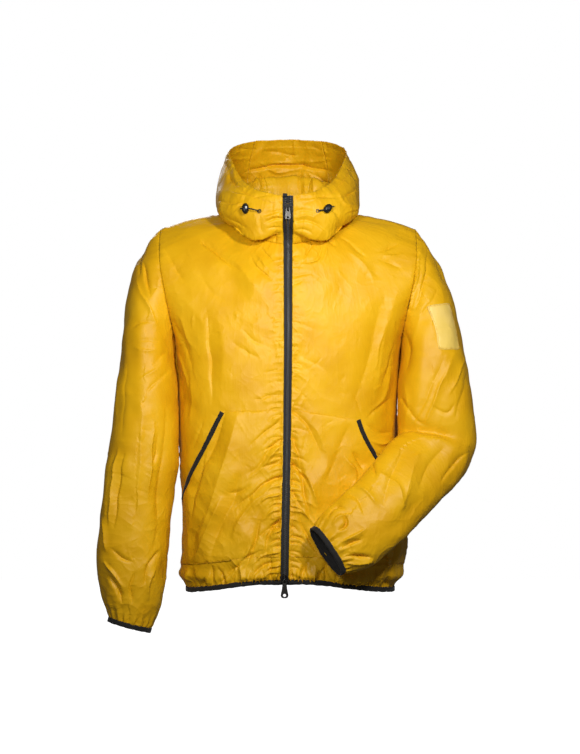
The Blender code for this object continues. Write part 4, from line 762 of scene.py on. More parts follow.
for side in ("hood_side_right", "hood_side_left", "hood_centre"):
    # the far wall and the nape, which all three hood pieces share; the wall hangs over the nape's top
    frontCreases[side] += [
        (5.5, 2.6, 0.3, "both", (240, 174), (262, 168), (289, 166), (312, 168), (334, 173)),
        (2.0, 2.4, 0.3, "both", (262, 152), (276, 152), (289, 156), (300, 154)),
        (-2.6, 3.0, 0.4, "both", (294, 139), (295, 148), (294, 158)),
        (2.2, 2.6, 0.0, "both", (282, 154), (288, 159), (294, 155)),
        (-1.8, 3.6, 0.0, "both", (226, 156), (238, 160), (254, 158)),
        (1.6, 3.4, 0.3, "both", (310, 146), (324, 150), (338, 150)),
        (-1.8, 3.0, 0.0, "both", (300, 160), (318, 162), (334, 158)),
        (1.8, 2.6, 0.0, "both", (236, 146), (248, 150), (262, 148)),
        (-1.6, 2.4, 0.0, "both", (268, 164), (284, 162), (300, 165)),
        (2.6, 2.2, 0.3, "both", (246, 176), (252, 182), (256, 192)),
        (-2.6, 2.2, 0.3, "both", (252, 172), (257, 181), (261, 190)),
        (2.4, 2.0, 0.0, "both", (257, 172), (262, 180), (264, 192)),
        (-2.2, 2.2, 0.0, "both", (304, 172), (305, 182), (306, 196)),
        (3.0, 3.4, 0.3, "both", (314, 174), (322, 180), (328, 190)),
        (-2.4, 2.4, 0.3, "both", (309, 172), (313, 182), (314, 196)),
    ]
# Creases of the hidden back, in the same pixels, seen through the garment.
backCreases = {
    "back": [
        (-2.4, 4.0, 0.4, "both", (196, 246), (222, 262), (256, 268)),
        (2.0, 5.0, 0.0, "both", (184, 262), (214, 282), (252, 292)),
        (-2.4, 4.0, -0.4, "both", (392, 246), (364, 262), (330, 270)),
        (2.0, 5.0, 0.0, "both", (402, 268), (372, 286), (338, 298)),
        (-2.0, 5.0, 0.3, "both", (176, 330), (206, 352), (232, 394)),
        (2.4, 6.0, 0.0, "both", (190, 318), (228, 352), (252, 402)),
        (-2.2, 5.0, -0.3, "both", (398, 322), (370, 350), (344, 400)),
        (2.4, 6.0, 0.0, "both", (386, 312), (354, 352), (330, 410)),
        (-2.6, 4.0, 0.3, "both", (204, 430), (232, 462), (252, 520)),
        (2.6, 6.0, 0.0, "both", (226, 424), (256, 466), (268, 530)),
        (-2.6, 5.0, -0.3, "both", (372, 436), (346, 478), (330, 536)),
        (3.0, 6.0, 0.0, "both", (352, 440), (326, 486), (312, 548)),
        (-2.0, 4.0, 0.0, "both", (286, 300), (290, 362), (284, 428)),
        (1.8, 5.0, 0.0, "both", (300, 420), (296, 480), (300, 540)),
        (-2.0, 3.4, 0.3, "both", (262, 250), (288, 258), (318, 250)),
        (-2.2, 3.0, 0.3, "both", (186, 500), (200, 530), (206, 566)),
        (-2.2, 3.0, 0.3, "both", (394, 500), (384, 530), (378, 566)),
    ],
    "sleeve_right": [
        (-2.6, 3.4, 0.4, "both", (140, 266), (132, 300), (128, 340)),
        (2.6, 4.0, 0.0, "both", (152, 300), (140, 340), (134, 392)),
        (-2.4, 3.4, 0.3, "both", (158, 350), (142, 362), (124, 364)),
        (2.0, 3.6, 0.0, "both", (160, 366), (144, 380), (126, 382)),
        (-2.4, 4.0, 0.3, "both", (128, 400), (122, 450), (116, 510)),
        (2.4, 4.6, 0.0, "both", (152, 410), (146, 470), (136, 540)),
        (-2.6, 3.2, 0.3, "both", (116, 556), (128, 574), (132, 602)),
        (2.2, 3.0, 0.0, "both", (150, 560), (142, 584), (140, 606)),
    ],
    "sleeve_left": [
        (-2.6, 3.4, 0.4, "both", (430, 262), (440, 300), (446, 336)),
        (2.6, 4.0, 0.0, "both", (418, 296), (430, 340), (438, 384)),
        (-2.4, 3.4, 0.3, "both", (410, 352), (432, 372), (456, 380)),
        (-2.6, 3.4, 0.3, "both", (424, 410), (446, 420), (470, 424)),
        (2.4, 3.8, 0.0, "both", (420, 424), (444, 436), (468, 442)),
        (-2.4, 3.4, 0.3, "both", (440, 452), (420, 486), (398, 510)),
        (2.4, 4.0, 0.0, "both", (456, 462), (434, 496), (404, 530)),
    ],
    "hood_centre": [
        (-2.4, 3.0, 0.4, "both", (256, 160), (276, 172), (300, 170)),
        (2.2, 3.6, 0.0, "both", (262, 190), (286, 200), (312, 196)),
        (-2.2, 3.0, 0.3, "both", (280, 212), (292, 232), (296, 256)),
        (2.0, 3.4, 0.0, "both", (306, 150), (300, 176), (302, 206)),
    ],
    "hood_side_right": [
        (-2.4, 3.0, 0.4, "both", (222, 180), (236, 198), (252, 206)),
        (2.2, 3.2, 0.0, "both", (228, 160), (240, 176), (256, 186)),
        (-2.0, 2.6, 0.0, "both", (230, 206), (244, 220), (258, 226)),
    ],
    "hood_side_left": [
        (-2.4, 3.0, 0.4, "both", (356, 182), (340, 198), (324, 204)),
        (2.2, 3.2, 0.0, "both", (350, 158), (336, 174), (322, 186)),
        (-2.0, 2.6, 0.0, "both", (348, 208), (334, 220), (320, 228)),
    ],
}

# Puckers where the stiff zip tape holds the cloth short: they run off the zip, longer and steeper lower down.
zipPuckers = {
    "top": 256, "bottom": 576, "gap": (3.4, 9.5), "length": (7, 21), "depth": (0.8, 1.7), "width": (1.5, 2.5),
    "seed": 11}
chance = random.Random(zipPuckers["seed"])
for name, side in (("front_right", -1), ("front_left", 1)):
    y = zipPuckers["top"]
    while y < zipPuckers["bottom"]:
        low = (y - zipPuckers["top"]) / (zipPuckers["bottom"] - zipPuckers["top"])
        x = 288.3 - 4 * low + side * 5.0
        run = chance.uniform(*zipPuckers["length"]) * (0.8 + 0.7 * low)
        drop = chance.uniform(-0.1, 0.35) + 0.55 * low
        sign = chance.choice((-1, -1, 1))
        frontCreases[name].append((
            sign * chance.uniform(*zipPuckers["depth"]) * (0.8 + 0.7 * low),
            chance.uniform(*zipPuckers["width"]), 0.3 * side, "from",
            (x, y), (x + side * run * 0.5, y + run * drop * 0.2), (x + side * run, y + run * drop)))
        y += chance.uniform(*zipPuckers["gap"])

# Gathers over the hem elastic, front and back, uneven in height and slant.
hemGathers = {
    "left": 187, "right": 393, "foot": 586, "backFoot": 587, "gap": (2.8, 7.0), "length": (9, 30),
    "depth": (1.3, 2.6), "width": (1.8, 3.4), "seed": 5}
chance = random.Random(hemGathers["seed"])
for creases, names in ((frontCreases, ("front_right", "front_left")), (backCreases, ("back",))):
    x = hemGathers["left"]
    while x < hemGathers["right"]:
        run = chance.uniform(*hemGathers["length"]) * chance.uniform(0.6, 1.0)
        slant = chance.uniform(-0.5, 0.5)
        foot = hemGathers["backFoot"]
        if creases is frontCreases:
            foot = hemGathers["foot"] - 6 * math.exp(-((x - 285) / 90) ** 2)
        row = (chance.choice((-1, -1, 1)) * chance.uniform(*hemGathers["depth"]),
               chance.uniform(*hemGathers["width"]), chance.uniform(-0.5, 0.5), "from",
               (x, foot), (x + slant * run * 0.4, foot - run * 0.5), (x + slant * run, foot - run))
        for name in names:
            creases[name].append(row)
        x += chance.uniform(*hemGathers["gap"])


def smoothNoise(seed, length, count):
    # a smooth random line of the given length, one value for each knot
    values = np.random.default_rng(seed).uniform(-1, 1, count)
    place = np.linspace(0, length, count)
    return lambda t: np.interp(t, place, values)


# Small crinkles that nylon keeps all over, short and shallow: how many on a piece, and their heading.
crinkles = {
    "front_right": (170, 70), "front_left": (170, 110), "back": (260, 90), "sleeve_right": (190, 84),
    "sleeve_left": (190, 110), "hood_side_right": (80, 60), "hood_side_left": (80, 120),
    "hood_centre": (60, 80)}
crinkleSetup = {
    "length": (7, 24), "width": (1.2, 2.4), "depth": (0.22, 0.6), "spread": 34, "bow": 2.5, "seed": 23}


def crinkleRows(name, low, high):
    chance = random.Random(crinkleSetup["seed"] + len(name) * 7 + ord(name[-1]))
    count, heading = crinkles[name]
    rows = []
    for i in range(count):
        x, y = chance.uniform(low[0], high[0]), chance.uniform(low[1], high[1])
        turn = math.radians(heading + chance.gauss(0, crinkleSetup["spread"]))
        run = chance.uniform(*crinkleSetup["length"]) / 2
        across, down = math.cos(turn) * run, math.sin(turn) * run
        bow = chance.uniform(-crinkleSetup["bow"], crinkleSetup["bow"])
        rows.append((chance.choice((-1, 1)) * chance.uniform(*crinkleSetup["depth"]),
                     chance.uniform(*crinkleSetup["width"]), chance.uniform(-0.6, 0.6), "both",
                     (x - across, y - down), (x + bow, y + bow * 0.4), (x + across, y + down)))
    return rows


# Sleeves are drawn in by their cuffs: gathers run out from the elastic, uneven in length. The left cuff turns
# towards the camera a little, so that its opening shows.
cuffGathers = {
    "count": 19, "depth": (0.0012, 0.0028), "reach": (0.014, 0.050), "width": 0.30, "seed": 31,
    "start": 0.004, "end": 0.09, "turn": {"left": 0.27, "right": 0.05}, "turnReach": 0.055, "turnWidth": 0.08}


def ringFrame(bindingName, inner):
    # centre, axis and two widths of an elastic ring, the axis pointing towards an inner place
    ring = np.array([v.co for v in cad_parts[bindingName].data.vertices], float)
    centre = (ring.min(axis=0) + ring.max(axis=0)) / 2
    spread, ways = np.linalg.eigh(np.cov((ring - ring.mean(axis=0)).T))
    axis = ways[:, 0] * np.sign((np.asarray(inner) - centre) @ ways[:, 0])
    return centre, axis, ways[:, 2], ways[:, 1], np.sqrt(spread[2]), np.sqrt(spread[1])


def cuffHeight(name, points):
    ring = "cuff_binding_" + name.split("_")[1]
    centre, axis, first, second, wide, deep = ringFrame(ring, points.mean(axis=0))
    offset = points - centre
    above = offset @ axis - cuffGathers["start"]
    around = np.arctan2(offset @ second / deep, offset @ first / wide)
    chance = random.Random(cuffGathers["seed"] + len(name))
    height = np.zeros(len(points))
    for i in range(2 * cuffGathers["count"]):
        middle = math.pi * (i + chance.uniform(-0.35, 0.35)) / cuffGathers["count"]
        depth = chance.uniform(*cuffGathers["depth"]) * (1 if i % 2 else -1)
        reach = chance.uniform(*cuffGathers["reach"])
        twist = chance.uniform(-6, 6)
        off = np.mod(around - middle - twist * np.clip(above, 0, 0.06) + math.pi, 2 * math.pi) - math.pi
        width = cuffGathers["width"] * math.pi / cuffGathers["count"] * (1.2 + above / 0.03)
        rise = np.clip(above / cuffGathers["start"], 0, 1) * np.exp(-np.clip(above, 0, None) / reach)
        fold = depth * np.exp(-(off / np.maximum(width, 0.02)) ** 2)
        height += np.where(above < cuffGathers["end"], fold * rise, 0)
    return height


def turnedCuff(side, points, inner):
    # slides the cuff's near side up the arm and its far side down
    centre, axis, first, second, wide, deep = ringFrame("cuff_binding_" + side, inner)
    above = np.clip((points - centre) @ axis, 0, None)
    off = np.linalg.norm(points - centre - np.outer((points - centre) @ axis, axis), axis=1)
    share = (1 - smoothstep(0, cuffGathers["turnReach"], above)) * (off < cuffGathers["turnWidth"])
    slide = -(points[:, 1] - centre[1]) * cuffGathers["turn"][side] * share
    return points + slide[:, None] * axis


# Seams pull their cloth short, so it puckers for a centimetre to each side of the stitches.
seamPucker = {
    "depth": 0.0011, "reach": 0.012, "pitch": 0.0080, "trough": 0.00012, "troughAt": 0.0032,
    "troughWide": 0.0016, "seed": 3}


def borderOff(name, points):
    # how far points are from the sewn edges of a piece, and the place there
    found = [borderTrees[name].find(place) for place in points]
    return np.array([f[2] for f in found]), borderPlaces[name][[f[1] for f in found]]


def seamHeight(distance, edge):
    # places along the border, from its own heights and angles, so that both sides of a seam pucker alike
    place = edge[:, 2] + 0.6 * edge[:, 0] + 0.5 * edge[:, 1]
    whole = 2.4   # metres, more than any place can reach
    noise = smoothNoise(seamPucker["seed"], whole, int(whole / seamPucker["pitch"] * 2))
    lift = noise(place + whole / 2) * np.exp(-distance / seamPucker["reach"])
    beside = np.exp(-((distance - seamPucker["troughAt"]) / seamPucker["troughWide"]) ** 2)
    return seamPucker["depth"] * lift - seamPucker["trough"] * beside


def smoothstep(low, high, value):
    t = np.clip((value - low) / (high - low), 0, 1)
    return t * t * (3 - 2 * t)


def spreadOut(name, points, normals):
    # flattened places in pixels: round the figure or the arm, and down
    around = points[:, 0]
    if name in ("back", "hood_centre"):
        around = np.arctan2(points[:, 0], points[:, 1]) * clothSetup["girth"]
    if name.startswith("sleeve"):
        around = points[:, 0] - points[:, 1] * np.sign(normals[:, 0] + 1e-6)
    return np.stack([around, -points[:, 2]], axis=1) / clothSetup["pixel"]


crinkleBox = {}
for name in sewnPieces:
    spread = spreadOut(name, cloth[name][0], normalsOf(*cloth[name]))
    crinkleBox[name] = crinkleRows(name, spread.min(axis=0), spread.max(axis=0))


# Wide, soft swells that the picture's outline needs: centre, reach and height in metres.
swells = {
    "back": [
        ((-0.190, 0.026, -0.255), (0.050, 0.022, 0.055), 0.013),
        ((-0.186, 0.034, -0.385), (0.050, 0.024, 0.050), 0.012),
        ((0.190, 0.026, -0.255), (0.050, 0.022, 0.055), 0.013),
        ((0.186, 0.034, -0.395), (0.050, 0.024, 0.050), 0.012)],
    "hood_side_right": [((-0.098, -0.095, -0.043), (0.034, 0.050, 0.018), -0.008),
                        ((-0.121, -0.040, -0.006), (0.020, 0.050, 0.012), 0.004)],
    "hood_side_left": [((0.104, -0.095, -0.043), (0.030, 0.050, 0.018), -0.006),
                       ((0.122, -0.040, -0.010), (0.020, 0.050, 0.012), 0.004)]}
# Over the hem elastic the cloth hangs out and rolls under: how high above its edge, how wide, how far out.
hemRoll = {"above": 0.017, "wide": 0.011, "out": 0.0055, "edge": -0.655}
# The hood's rim is turned to a tunnel for the cord: its width, its extra height and its stitches' groove.
rimTunnel = {"width": 0.016, "rise": 0.0006, "groove": 0.0005, "grooveWide": 0.0016, "step": 0.0006}


def swellHeight(name, points):
    height = np.zeros(len(points))
    for centre, reach, rise in swells.get(name, ()):
        height += rise * np.exp(-(((points - centre) / reach) ** 2).sum(axis=1))
    if name in ("front_right", "front_left", "back"):
        uneven = 1 + 0.35 * np.sin(points[:, 0] * 61 + 1) * np.sin(points[:, 0] * 23)
        above = points[:, 2] - hemRoll["edge"] - hemRoll["above"]
        height += hemRoll["out"] * uneven * np.exp(-(above / hemRoll["wide"]) ** 2)
    if name.startswith("hood"):
        tree = rimTrees[name]
        distance = np.array([tree.find(place)[2] for place in points])
        width = rimTunnel["width"]
        groove = rimTunnel["grooveWide"]
        height += rimTunnel["rise"] * (1 - smoothstep(width - groove, width + rimTunnel["step"], distance))
        height -= rimTunnel["groove"] * np.exp(-((distance - width) / groove) ** 2)
    return height


def foldShare(name, corners):
    # folds deepen from the smooth chest to the gathered hem
    if name.startswith("hood"):
        return clothSetup["hoodDepth"]
    top, chest, low = clothSetup["creaseDepth"]
    middle = sum(c[1] for c in corners) / len(corners)
    return top + (chest - top) * smoothstep(270, 310, middle) + (low - chest) * smoothstep(395, 480, middle)


# Crumpled facets: folded waves in several headings, bent so that none runs straight. Length in mm, heading in
# degrees, slope; least on the chest, most low down, on the sleeves and on the hood.
facetWaves = [(74, 22, 0.050), (57, 78, 0.055), (96, 131, 0.060), (41, -18, 0.045), (33, 58, 0.035)]
facetShare = {"chest": 0.30, "low": 0.85, "sleeve": 0.5, "hood": 0.8, "from": 0.34, "to": 0.52}


def facetHeight(name, spread, points):
    places = spread * clothSetup["pixel"]
    height = np.zeros(len(places))
    for k, (length, heading, slope) in enumerate(facetWaves):
        turn = math.radians(heading + 7 * len(name))
        along = places @ (math.cos(turn), math.sin(turn))
        aside = places @ (-math.sin(turn), math.cos(turn))
        wave = length / 1000
        phase = along / wave + 0.22 * np.sin(aside / wave * 2.3 + k)
        phase = phase + 0.16 * np.sin(along / wave * 1.7 + aside * 31 + 2 * k)
        folded = 4 * np.abs(phase - np.floor(phase + 0.5)) - 1
        height += folded * slope * wave / 4
    if name.startswith(("sleeve", "hood")):
        return height * facetShare[name.split("_")[0]]
    lowDown = smoothstep(facetShare["from"], facetShare["to"], -points[:, 2])
    return height * (facetShare["chest"] + facetShare["low"] * lowDown)


def creasesOf(name, points, normals):
    flat = seenAt(points)
    # a crease belongs to the side of the piece that it was drawn on
    toFront = smoothstep(-0.15, 0.25, -normals[:, 1])
    toBack = 1 - smoothstep(-0.25, 0.15, -normals[:, 1])
    if name.startswith("hood"):
        toFront = smoothstep(-0.10, 0.25, np.abs(normals[:, 1]))
    spread = spreadOut(name, points, normals)
    height = swellHeight(name, points) + facetHeight(name, spread, points)
    sides = ((frontCreases.get(name, ()), flat, toFront), (backCreases.get(name, ()), flat, toBack),
             (crinkleBox[name], spread, np.ones(len(points))))
    for rows, places, share in sides:
        order = np.argsort(places[:, 1])
        sortedDown = places[order, 1]
        for k, (depth, width, lean, taper, *corners) in enumerate(rows):
            depth = depth / 1000 * foldShare(name, corners)
            near, rise = creaseHeight(places, order, sortedDown, corners, width, depth, taper, lean, k * 1.7)
            height[near] += rise * share[near]
    if name.startswith("sleeve"):
        height += cuffHeight(name, points)
    return height


# Edges of what is sewn on sink into the panel; hems and sleeve ends reach down inside their bindings.
laidOn = {"sink": 0.0015, "reach": 0.0060}
tuck = {"length": 0.0050, "inwards": 0.0022, "reach": 0.010, "near": 0.008}


def tuckedIn(name, points, faces):
    edges, numbers, border = faceEdges(points, faces)
    rim = np.unique(edges[border])
    for bindingName, tree in bindingTrees.items():
        close = [i for i in rim if tree.find(points[i])[2] < tuck["near"]]
        if len(close) < 8:
            continue
        axis = ringFrame(bindingName, points.mean(axis=0))[1]
        rimTree = treeOf(points[close])
        distance = np.array([rimTree.find(place)[2] for place in points])
        share = np.clip(1 - distance / tuck["reach"], 0, 1) ** 2
        inwards = normalsOf(points, faces) * (tuck["inwards"] * share)[:, None]
        points = points - np.outer(tuck["length"] * share, axis) - inwards
    return points


def creaseCloth(name):
    points, faces = cloth[name]
    panel = clothPieces[name][3] or name
    normals = normalsOf(points, faces)
    height = creasesOf(panel, points, normals)
    for turn in range(clothSetup["creaseRounds"]):
        edges, numbers, border = faceEdges(points, faces)
        ends = points[edges]
        middles = ends.mean(axis=1)
        lengths = np.linalg.norm(ends[:, 0] - ends[:, 1], axis=1)
        between = normals[edges].mean(axis=1)
        between /= np.linalg.norm(between, axis=1)[:, None]
        middleHeight = creasesOf(panel, middles, between)
        error = np.abs(middleHeight - height[edges].mean(axis=1))
        distance = borderOff(panel, middles)[0]
        wanted = (error > clothSetup["creaseError"]) & (lengths > clothSetup["shortest"])
        wanted |= (distance < clothSetup["seamReach"]) & (lengths > clothSetup["atSeam"])
        points, faces = cutEdges(points, faces, edges, numbers, wanted)
        points = eased(points, faces, 1)
        normals = normalsOf(points, faces)
        height = creasesOf(panel, points, normals)
    distance, edge = borderOff(panel, points)
    height *= smoothstep(-0.001, 0.006, distance)
    height += seamHeight(distance, edge)
    seamDistance[name] = distance
    if clothPieces[name][3]:
        own = borderOff(name, points)[0]
        height -= laidOn["sink"] * np.exp(-(own / laidOn["reach"]) ** 2)
    points = eased(points + normals * height[:, None], faces, 1)
    points = tuckedIn(name, points, faces)
    if name in innerSleeve:
        points = turnedCuff(name.split("_")[1], points, innerSleeve[name])
    cloth[name] = [points, faces]
    print(" ", name, len(faces), "triangles")


seamDistance = {}
innerSleeve = {name: cloth[name][0].mean(axis=0) for name in ("sleeve_right", "sleeve_left")}
for name in clothPieces:
    creaseCloth(name)
closeSeams(clothSetup["sewn"][1], 0.0)
print("creases laid:", sum(len(faces) for points, faces in cloth.values()), "triangles")


# How much of the small crumpling shows: on the piece, more by its seams, and more low on the body.
crumpling = {"body": (0.14, 0.35), "hood": (0.22, 0.10), "seam": 0.022, "low": 0.25, "from": 0.36, "to": 0.62}


def crinkleShare(name, points):
    base, nearSeam = crumpling["hood" if name.startswith("hood") else "body"]
    lowDown = smoothstep(crumpling["from"], crumpling["to"], -points[:, 2])
    return base + nearSeam * np.exp(-seamDistance[name] / crumpling["seam"]) + crumpling["low"] * lowDown


clothFinishes = {"shell_nylon": shellNylon, "patch_nylon": patchNylon, "elastic_binding": blackElastic}


def finishCloth(name):
    points, faces = cloth[name]
    mesh = meshOf(name + "_cloth", points, faces)
    layer = mesh.uv_layers.new(name="cloth")
    index = np.zeros(len(mesh.loops), int)
    mesh.loops.foreach_get("vertex_index", index)
    behind = -1 if name in ("back", "hood_centre") else 1
    across = np.arctan2(points[:, 0], -points[:, 1] * behind) * clothSetup["girth"]
    if "sleeve" in name:
        across = points[:, 0] * 0.7 + points[:, 1]
    layer.data.foreach_set("uv", np.stack([across, points[:, 2]], axis=1)[index].ravel())
    slotName = clothPieces[name][2]
    mesh.attributes.new("crinkle", "FLOAT", "POINT").data.foreach_set("value", crinkleShare(name, points))
    piece = linkPiece(name + "_cloth", mesh, clothFinishes[slotName])
    wallMaker = piece.modifiers.new("wall", "SOLIDIFY")
    wallMaker.thickness = clothSetup["thickness"]
    wallMaker.offset = -1
    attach(piece, "jacket")
    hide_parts(name)
    return piece


pieces = {name: finishCloth(name) for name in clothPieces}
print("cloth pieces made")

# Elastic bindings: their solids' own form, cut finer, gathered by their own pull and ribbed along their run.
bindingSetup = {
    "edge": 0.0040, "waves": {"hem_binding": 85, "cuff_binding_right": 26, "cuff_binding_left": 26},
    "wave": 0.0007, "swell": 0.0004, "seed": 41}


def gatheredBinding(name):
    shape = bmesh.new()
    shape.from_mesh(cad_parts[name].data)
    bmesh.ops.remove_doubles(shape, verts=shape.verts, dist=2e-6)
    bmesh.ops.triangulate(shape, faces=shape.faces)
    points, faces = arraysOf(shape)
    for again in range(3):
        edges, numbers, border = faceEdges(points, faces)
        lengths = np.linalg.norm(points[edges[:, 0]] - points[edges[:, 1]], axis=1)
        points, faces = cutEdges(points, faces, edges, numbers, lengths > bindingSetup["edge"])
    inner = innerSleeve.get(name.replace("cuff_binding", "sleeve"), (0, 0, 0))
    centre, axis, first, second, wide, deep = ringFrame(name, inner)
    offset = points - centre
    around = np.arctan2(offset @ second / deep, offset @ first / wide)
    count = bindingSetup["waves"][name]
    noise = smoothNoise(bindingSetup["seed"] + count, 2 * math.pi, count * 2 + 1)
    wave = noise(around + math.pi) * np.sin(around * count / 2)
    points = points + np.outer(bindingSetup["wave"] * wave, axis)
    points = points + normalsOf(points, faces) * (bindingSetup["swell"] * noise(around + math.pi))[:, None]
    if name.startswith("cuff"):
        points = turnedCuff(name.split("_")[-1], points, inner)
    mesh = meshOf(name + "_ribbed", points, faces)
    index = faces.ravel()
    spread = np.stack([around * (wide + deep) * 0.7, offset @ axis], axis=1)
    mesh.uv_layers.new(name="cloth").data.foreach_set("uv", spread[index].ravel())
    piece = linkPiece(name + "_ribbed", mesh, blackElastic)
    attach(piece, "jacket")
    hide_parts(name)
    return piece


# Each cuff's elastic is folded in: its inner turn is a short black band inside the opening, partly the real
# folded elastic and partly a dark sheet that stands in for the shade inside the opening, as painted shade.
innerTurnShadeBand = {"depth": 0.013, "inset": 0.0022, "steps": 96, "rows": 5, "narrower": 0.06, "wall": 0.0009}


def tubeFaces(rows, sides):
    # four-cornered faces between the rings of a tube
    around = [(k, (k + 1) % sides) for k in range(sides)]
    return [(r * sides + a, r * sides + b, (r + 1) * sides + b, (r + 1) * sides + a)
            for r in range(rows - 1) for a, b in around]


# the black band inside a cuff: partly real folded elastic, partly painted shade that darkens the opening
def foldedInShadeBand(side):
    inner = innerSleeve["sleeve_" + side]
    centre, axis, first, second, wide, deep = ringFrame("cuff_binding_" + side, inner)
    radii = wide * math.sqrt(2) - innerTurnShadeBand["inset"], deep * math.sqrt(2) - innerTurnShadeBand["inset"]
    steps, rows = innerTurnShadeBand["steps"], innerTurnShadeBand["rows"]
    turn = np.arange(steps) * 2 * math.pi / steps
    level = np.linspace(0.0, innerTurnShadeBand["depth"], rows)
    ringed = np.outer(np.cos(turn) * radii[0], first) + np.outer(np.sin(turn) * radii[1], second)
    points = np.concatenate([
        centre + ringed * (1 - innerTurnShadeBand["narrower"] * k / rows) + axis * level[k] for k in range(rows)])
    faces = tubeFaces(rows, steps)
    points = turnedCuff(side, points, inner)
    mesh = meshOf("cuff_inner_turn_" + side, points, faces)
    spread = np.stack([np.tile(turn * (radii[0] + radii[1]) / 2, rows), np.repeat(level, steps)], axis=1)
    mesh.uv_layers.new(name="cloth").data.foreach_set("uv", spread[np.array(faces).ravel()].ravel())
    piece = linkPiece("cuff_inner_turn_" + side, mesh, blackElastic)
    wallMaker = piece.modifiers.new("wall", "SOLIDIFY")
    wallMaker.thickness = innerTurnShadeBand["wall"]
    wallMaker.offset = 0
    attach(piece, "jacket")
    return piece


for name in bindingSetup["waves"]:
    pieces[name] = gatheredBinding(name)
# the cuff bands darken the openings, partly as painted shade
for side in ("right", "left"):
    pieces["inner_turn_" + side] = foldedInShadeBand(side)
print("bindings made")


def repeaterGroup():
    # sets a small shape along lines at an even spacing, its Z along the line and its X outwards
    group = bpy.data.node_groups.new("shapes_along_lines", "GeometryNodeTree")
    sockets = {}
    for label, kind in (
            ("Geometry", "Geometry"), ("Spacing", "Float"), ("Shape", "Object"), ("Finish", "Material")):
        socket = group.interface.new_socket(label, in_out="INPUT", socket_type="NodeSocket" + kind)
        sockets[label] = socket.identifier
    group.interface.new_socket("Geometry", in_out="OUTPUT", socket_type="NodeSocketGeometry")
    start = addNode(group, "NodeGroupInput")
    lines = addNode(group, "GeometryNodeMeshToCurve", {"Mesh": start.outputs["Geometry"]})
    places = addNode(group, "GeometryNodeCurveToPoints", {
        "Curve": lines.outputs["Curve"], "Length": start.outputs["Spacing"]}, mode="LENGTH")
    outward = addNode(
        group, "GeometryNodeInputNamedAttribute", {"Name": "outward"}, data_type="FLOAT_VECTOR")
    along = addNode(
        group, "FunctionNodeAlignRotationToVector", {"Vector": places.outputs["Tangent"]}, axis="Z")
    facing = addNode(group, "FunctionNodeAlignRotationToVector", {
        "Rotation": along.outputs["Rotation"], "Vector": outward.outputs[0]}, axis="X", pivot_axis="Z")
    uneven = addNode(group, "FunctionNodeRandomValue", {2: 0.92, 3: 1.08, "Seed": 7}, data_type="FLOAT")
    shape = addNode(
        group, "GeometryNodeObjectInfo", {"Object": start.outputs["Shape"], "As Instance": True})
    spread = addNode(group, "GeometryNodeInstanceOnPoints", {
        "Points": places.outputs["Points"], "Instance": shape.outputs["Geometry"],
        "Rotation": facing.outputs["Rotation"], "Scale": uneven.outputs[1]})
    real = addNode(group, "GeometryNodeRealizeInstances", {"Geometry": spread.outputs["Instances"]})
    painted = addNode(group, "GeometryNodeSetMaterial", {
        "Geometry": real.outputs["Geometry"], "Material": start.outputs["Finish"]})
    addNode(group, "NodeGroupOutput", {"Geometry": painted.outputs["Geometry"]})
    return group, sockets


repeater, repeaterSockets = repeaterGroup()


def ringsShape(rings, sides):
    # a small closed shape from rings (half thickness, half width, height) set along Z
    points = [(x * math.cos(2 * math.pi * k / sides), y * math.sin(2 * math.pi * k / sides), z)
              for x, y, z in rings for k in range(sides)]
    faces = tubeFaces(len(rings), sides)
    faces += [tuple(reversed(range(sides))), tuple(range((len(rings) - 1) * sides, len(rings) * sides))]
    mesh = bpy.data.meshes.new("small_shape")
    mesh.from_pydata(points, [], faces)
    return mesh


def shapesAlong(name, lines, shape, spacing, material):
    # lines: pairs of places and outward directions
    points = np.concatenate([places for places, outward in lines])
    outward = np.concatenate([outward for places, outward in lines])
    ends = np.cumsum([len(places) for places, outward in lines])
    edges = [(i, i + 1) for i in range(len(points) - 1) if i + 1 not in ends]
    mesh = bpy.data.meshes.new(name + "_lines")
    mesh.from_pydata([tuple(p) for p in points], edges, [])
    facing = mesh.attributes.new("outward", "FLOAT_VECTOR", "POINT")
    facing.data.foreach_set("vector", outward.ravel())
    piece = bpy.data.objects.new(name, mesh)
    scene.collection.objects.link(piece)
    stamp = bpy.data.objects.new("small_shape", shape)
    maker = piece.modifiers.new("along", "NODES")
    maker.node_group = repeater
    for label, value in (("Spacing", spacing), ("Shape", stamp), ("Finish", material)):
        maker[repeaterSockets[label]] = value
    bpy.context.view_layer.update()
    made = bpy.data.meshes.new_from_object(piece.evaluated_get(bpy.context.evaluated_depsgraph_get()))
    piece.modifiers.clear()
    piece.data = made
    made.materials.clear()
    made.materials.append(material)
    bpy.data.objects.remove(stamp)
    bpy.data.meshes.remove(mesh)
    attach(piece, "jacket")
    return piece


# Zip teeth: moulded, two rows that mesh below the slider and stand apart above it. Real size, 3.3 mm pitch.
teethSetup = {
    "pitch": 0.0033, "half": 0.0013, "overlap": 0.0004, "proud": 0.0003,
    "meshed": (-0.0208, -0.6277), "open": (0.0135, -0.0020)}


def stripAt(nodeName, heights):
    # an upright strip's two sides and its front at given heights, from its solid
    points = np.array([v.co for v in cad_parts[nodeName].data.vertices], float)
    cells = np.unique(np.round(points[:, 2] / 0.004).astype(int))
    rows = [points[np.abs(points[:, 2] / 0.004 - cell) <= 0.75] for cell in cells]
    level = [row[:, 2].mean() for row in rows]
    found = (np.interp(heights, level, [pick(row) for row in rows]) for pick in (
        lambda row: row[:, 0].min(), lambda row: row[:, 0].max(), lambda row: row[:, 1].min()))
    kernel = np.hanning(9)[1:-1] / np.hanning(9).sum()
    return [np.convolve(np.pad(values, 3, "edge"), kernel, "valid") for values in found]


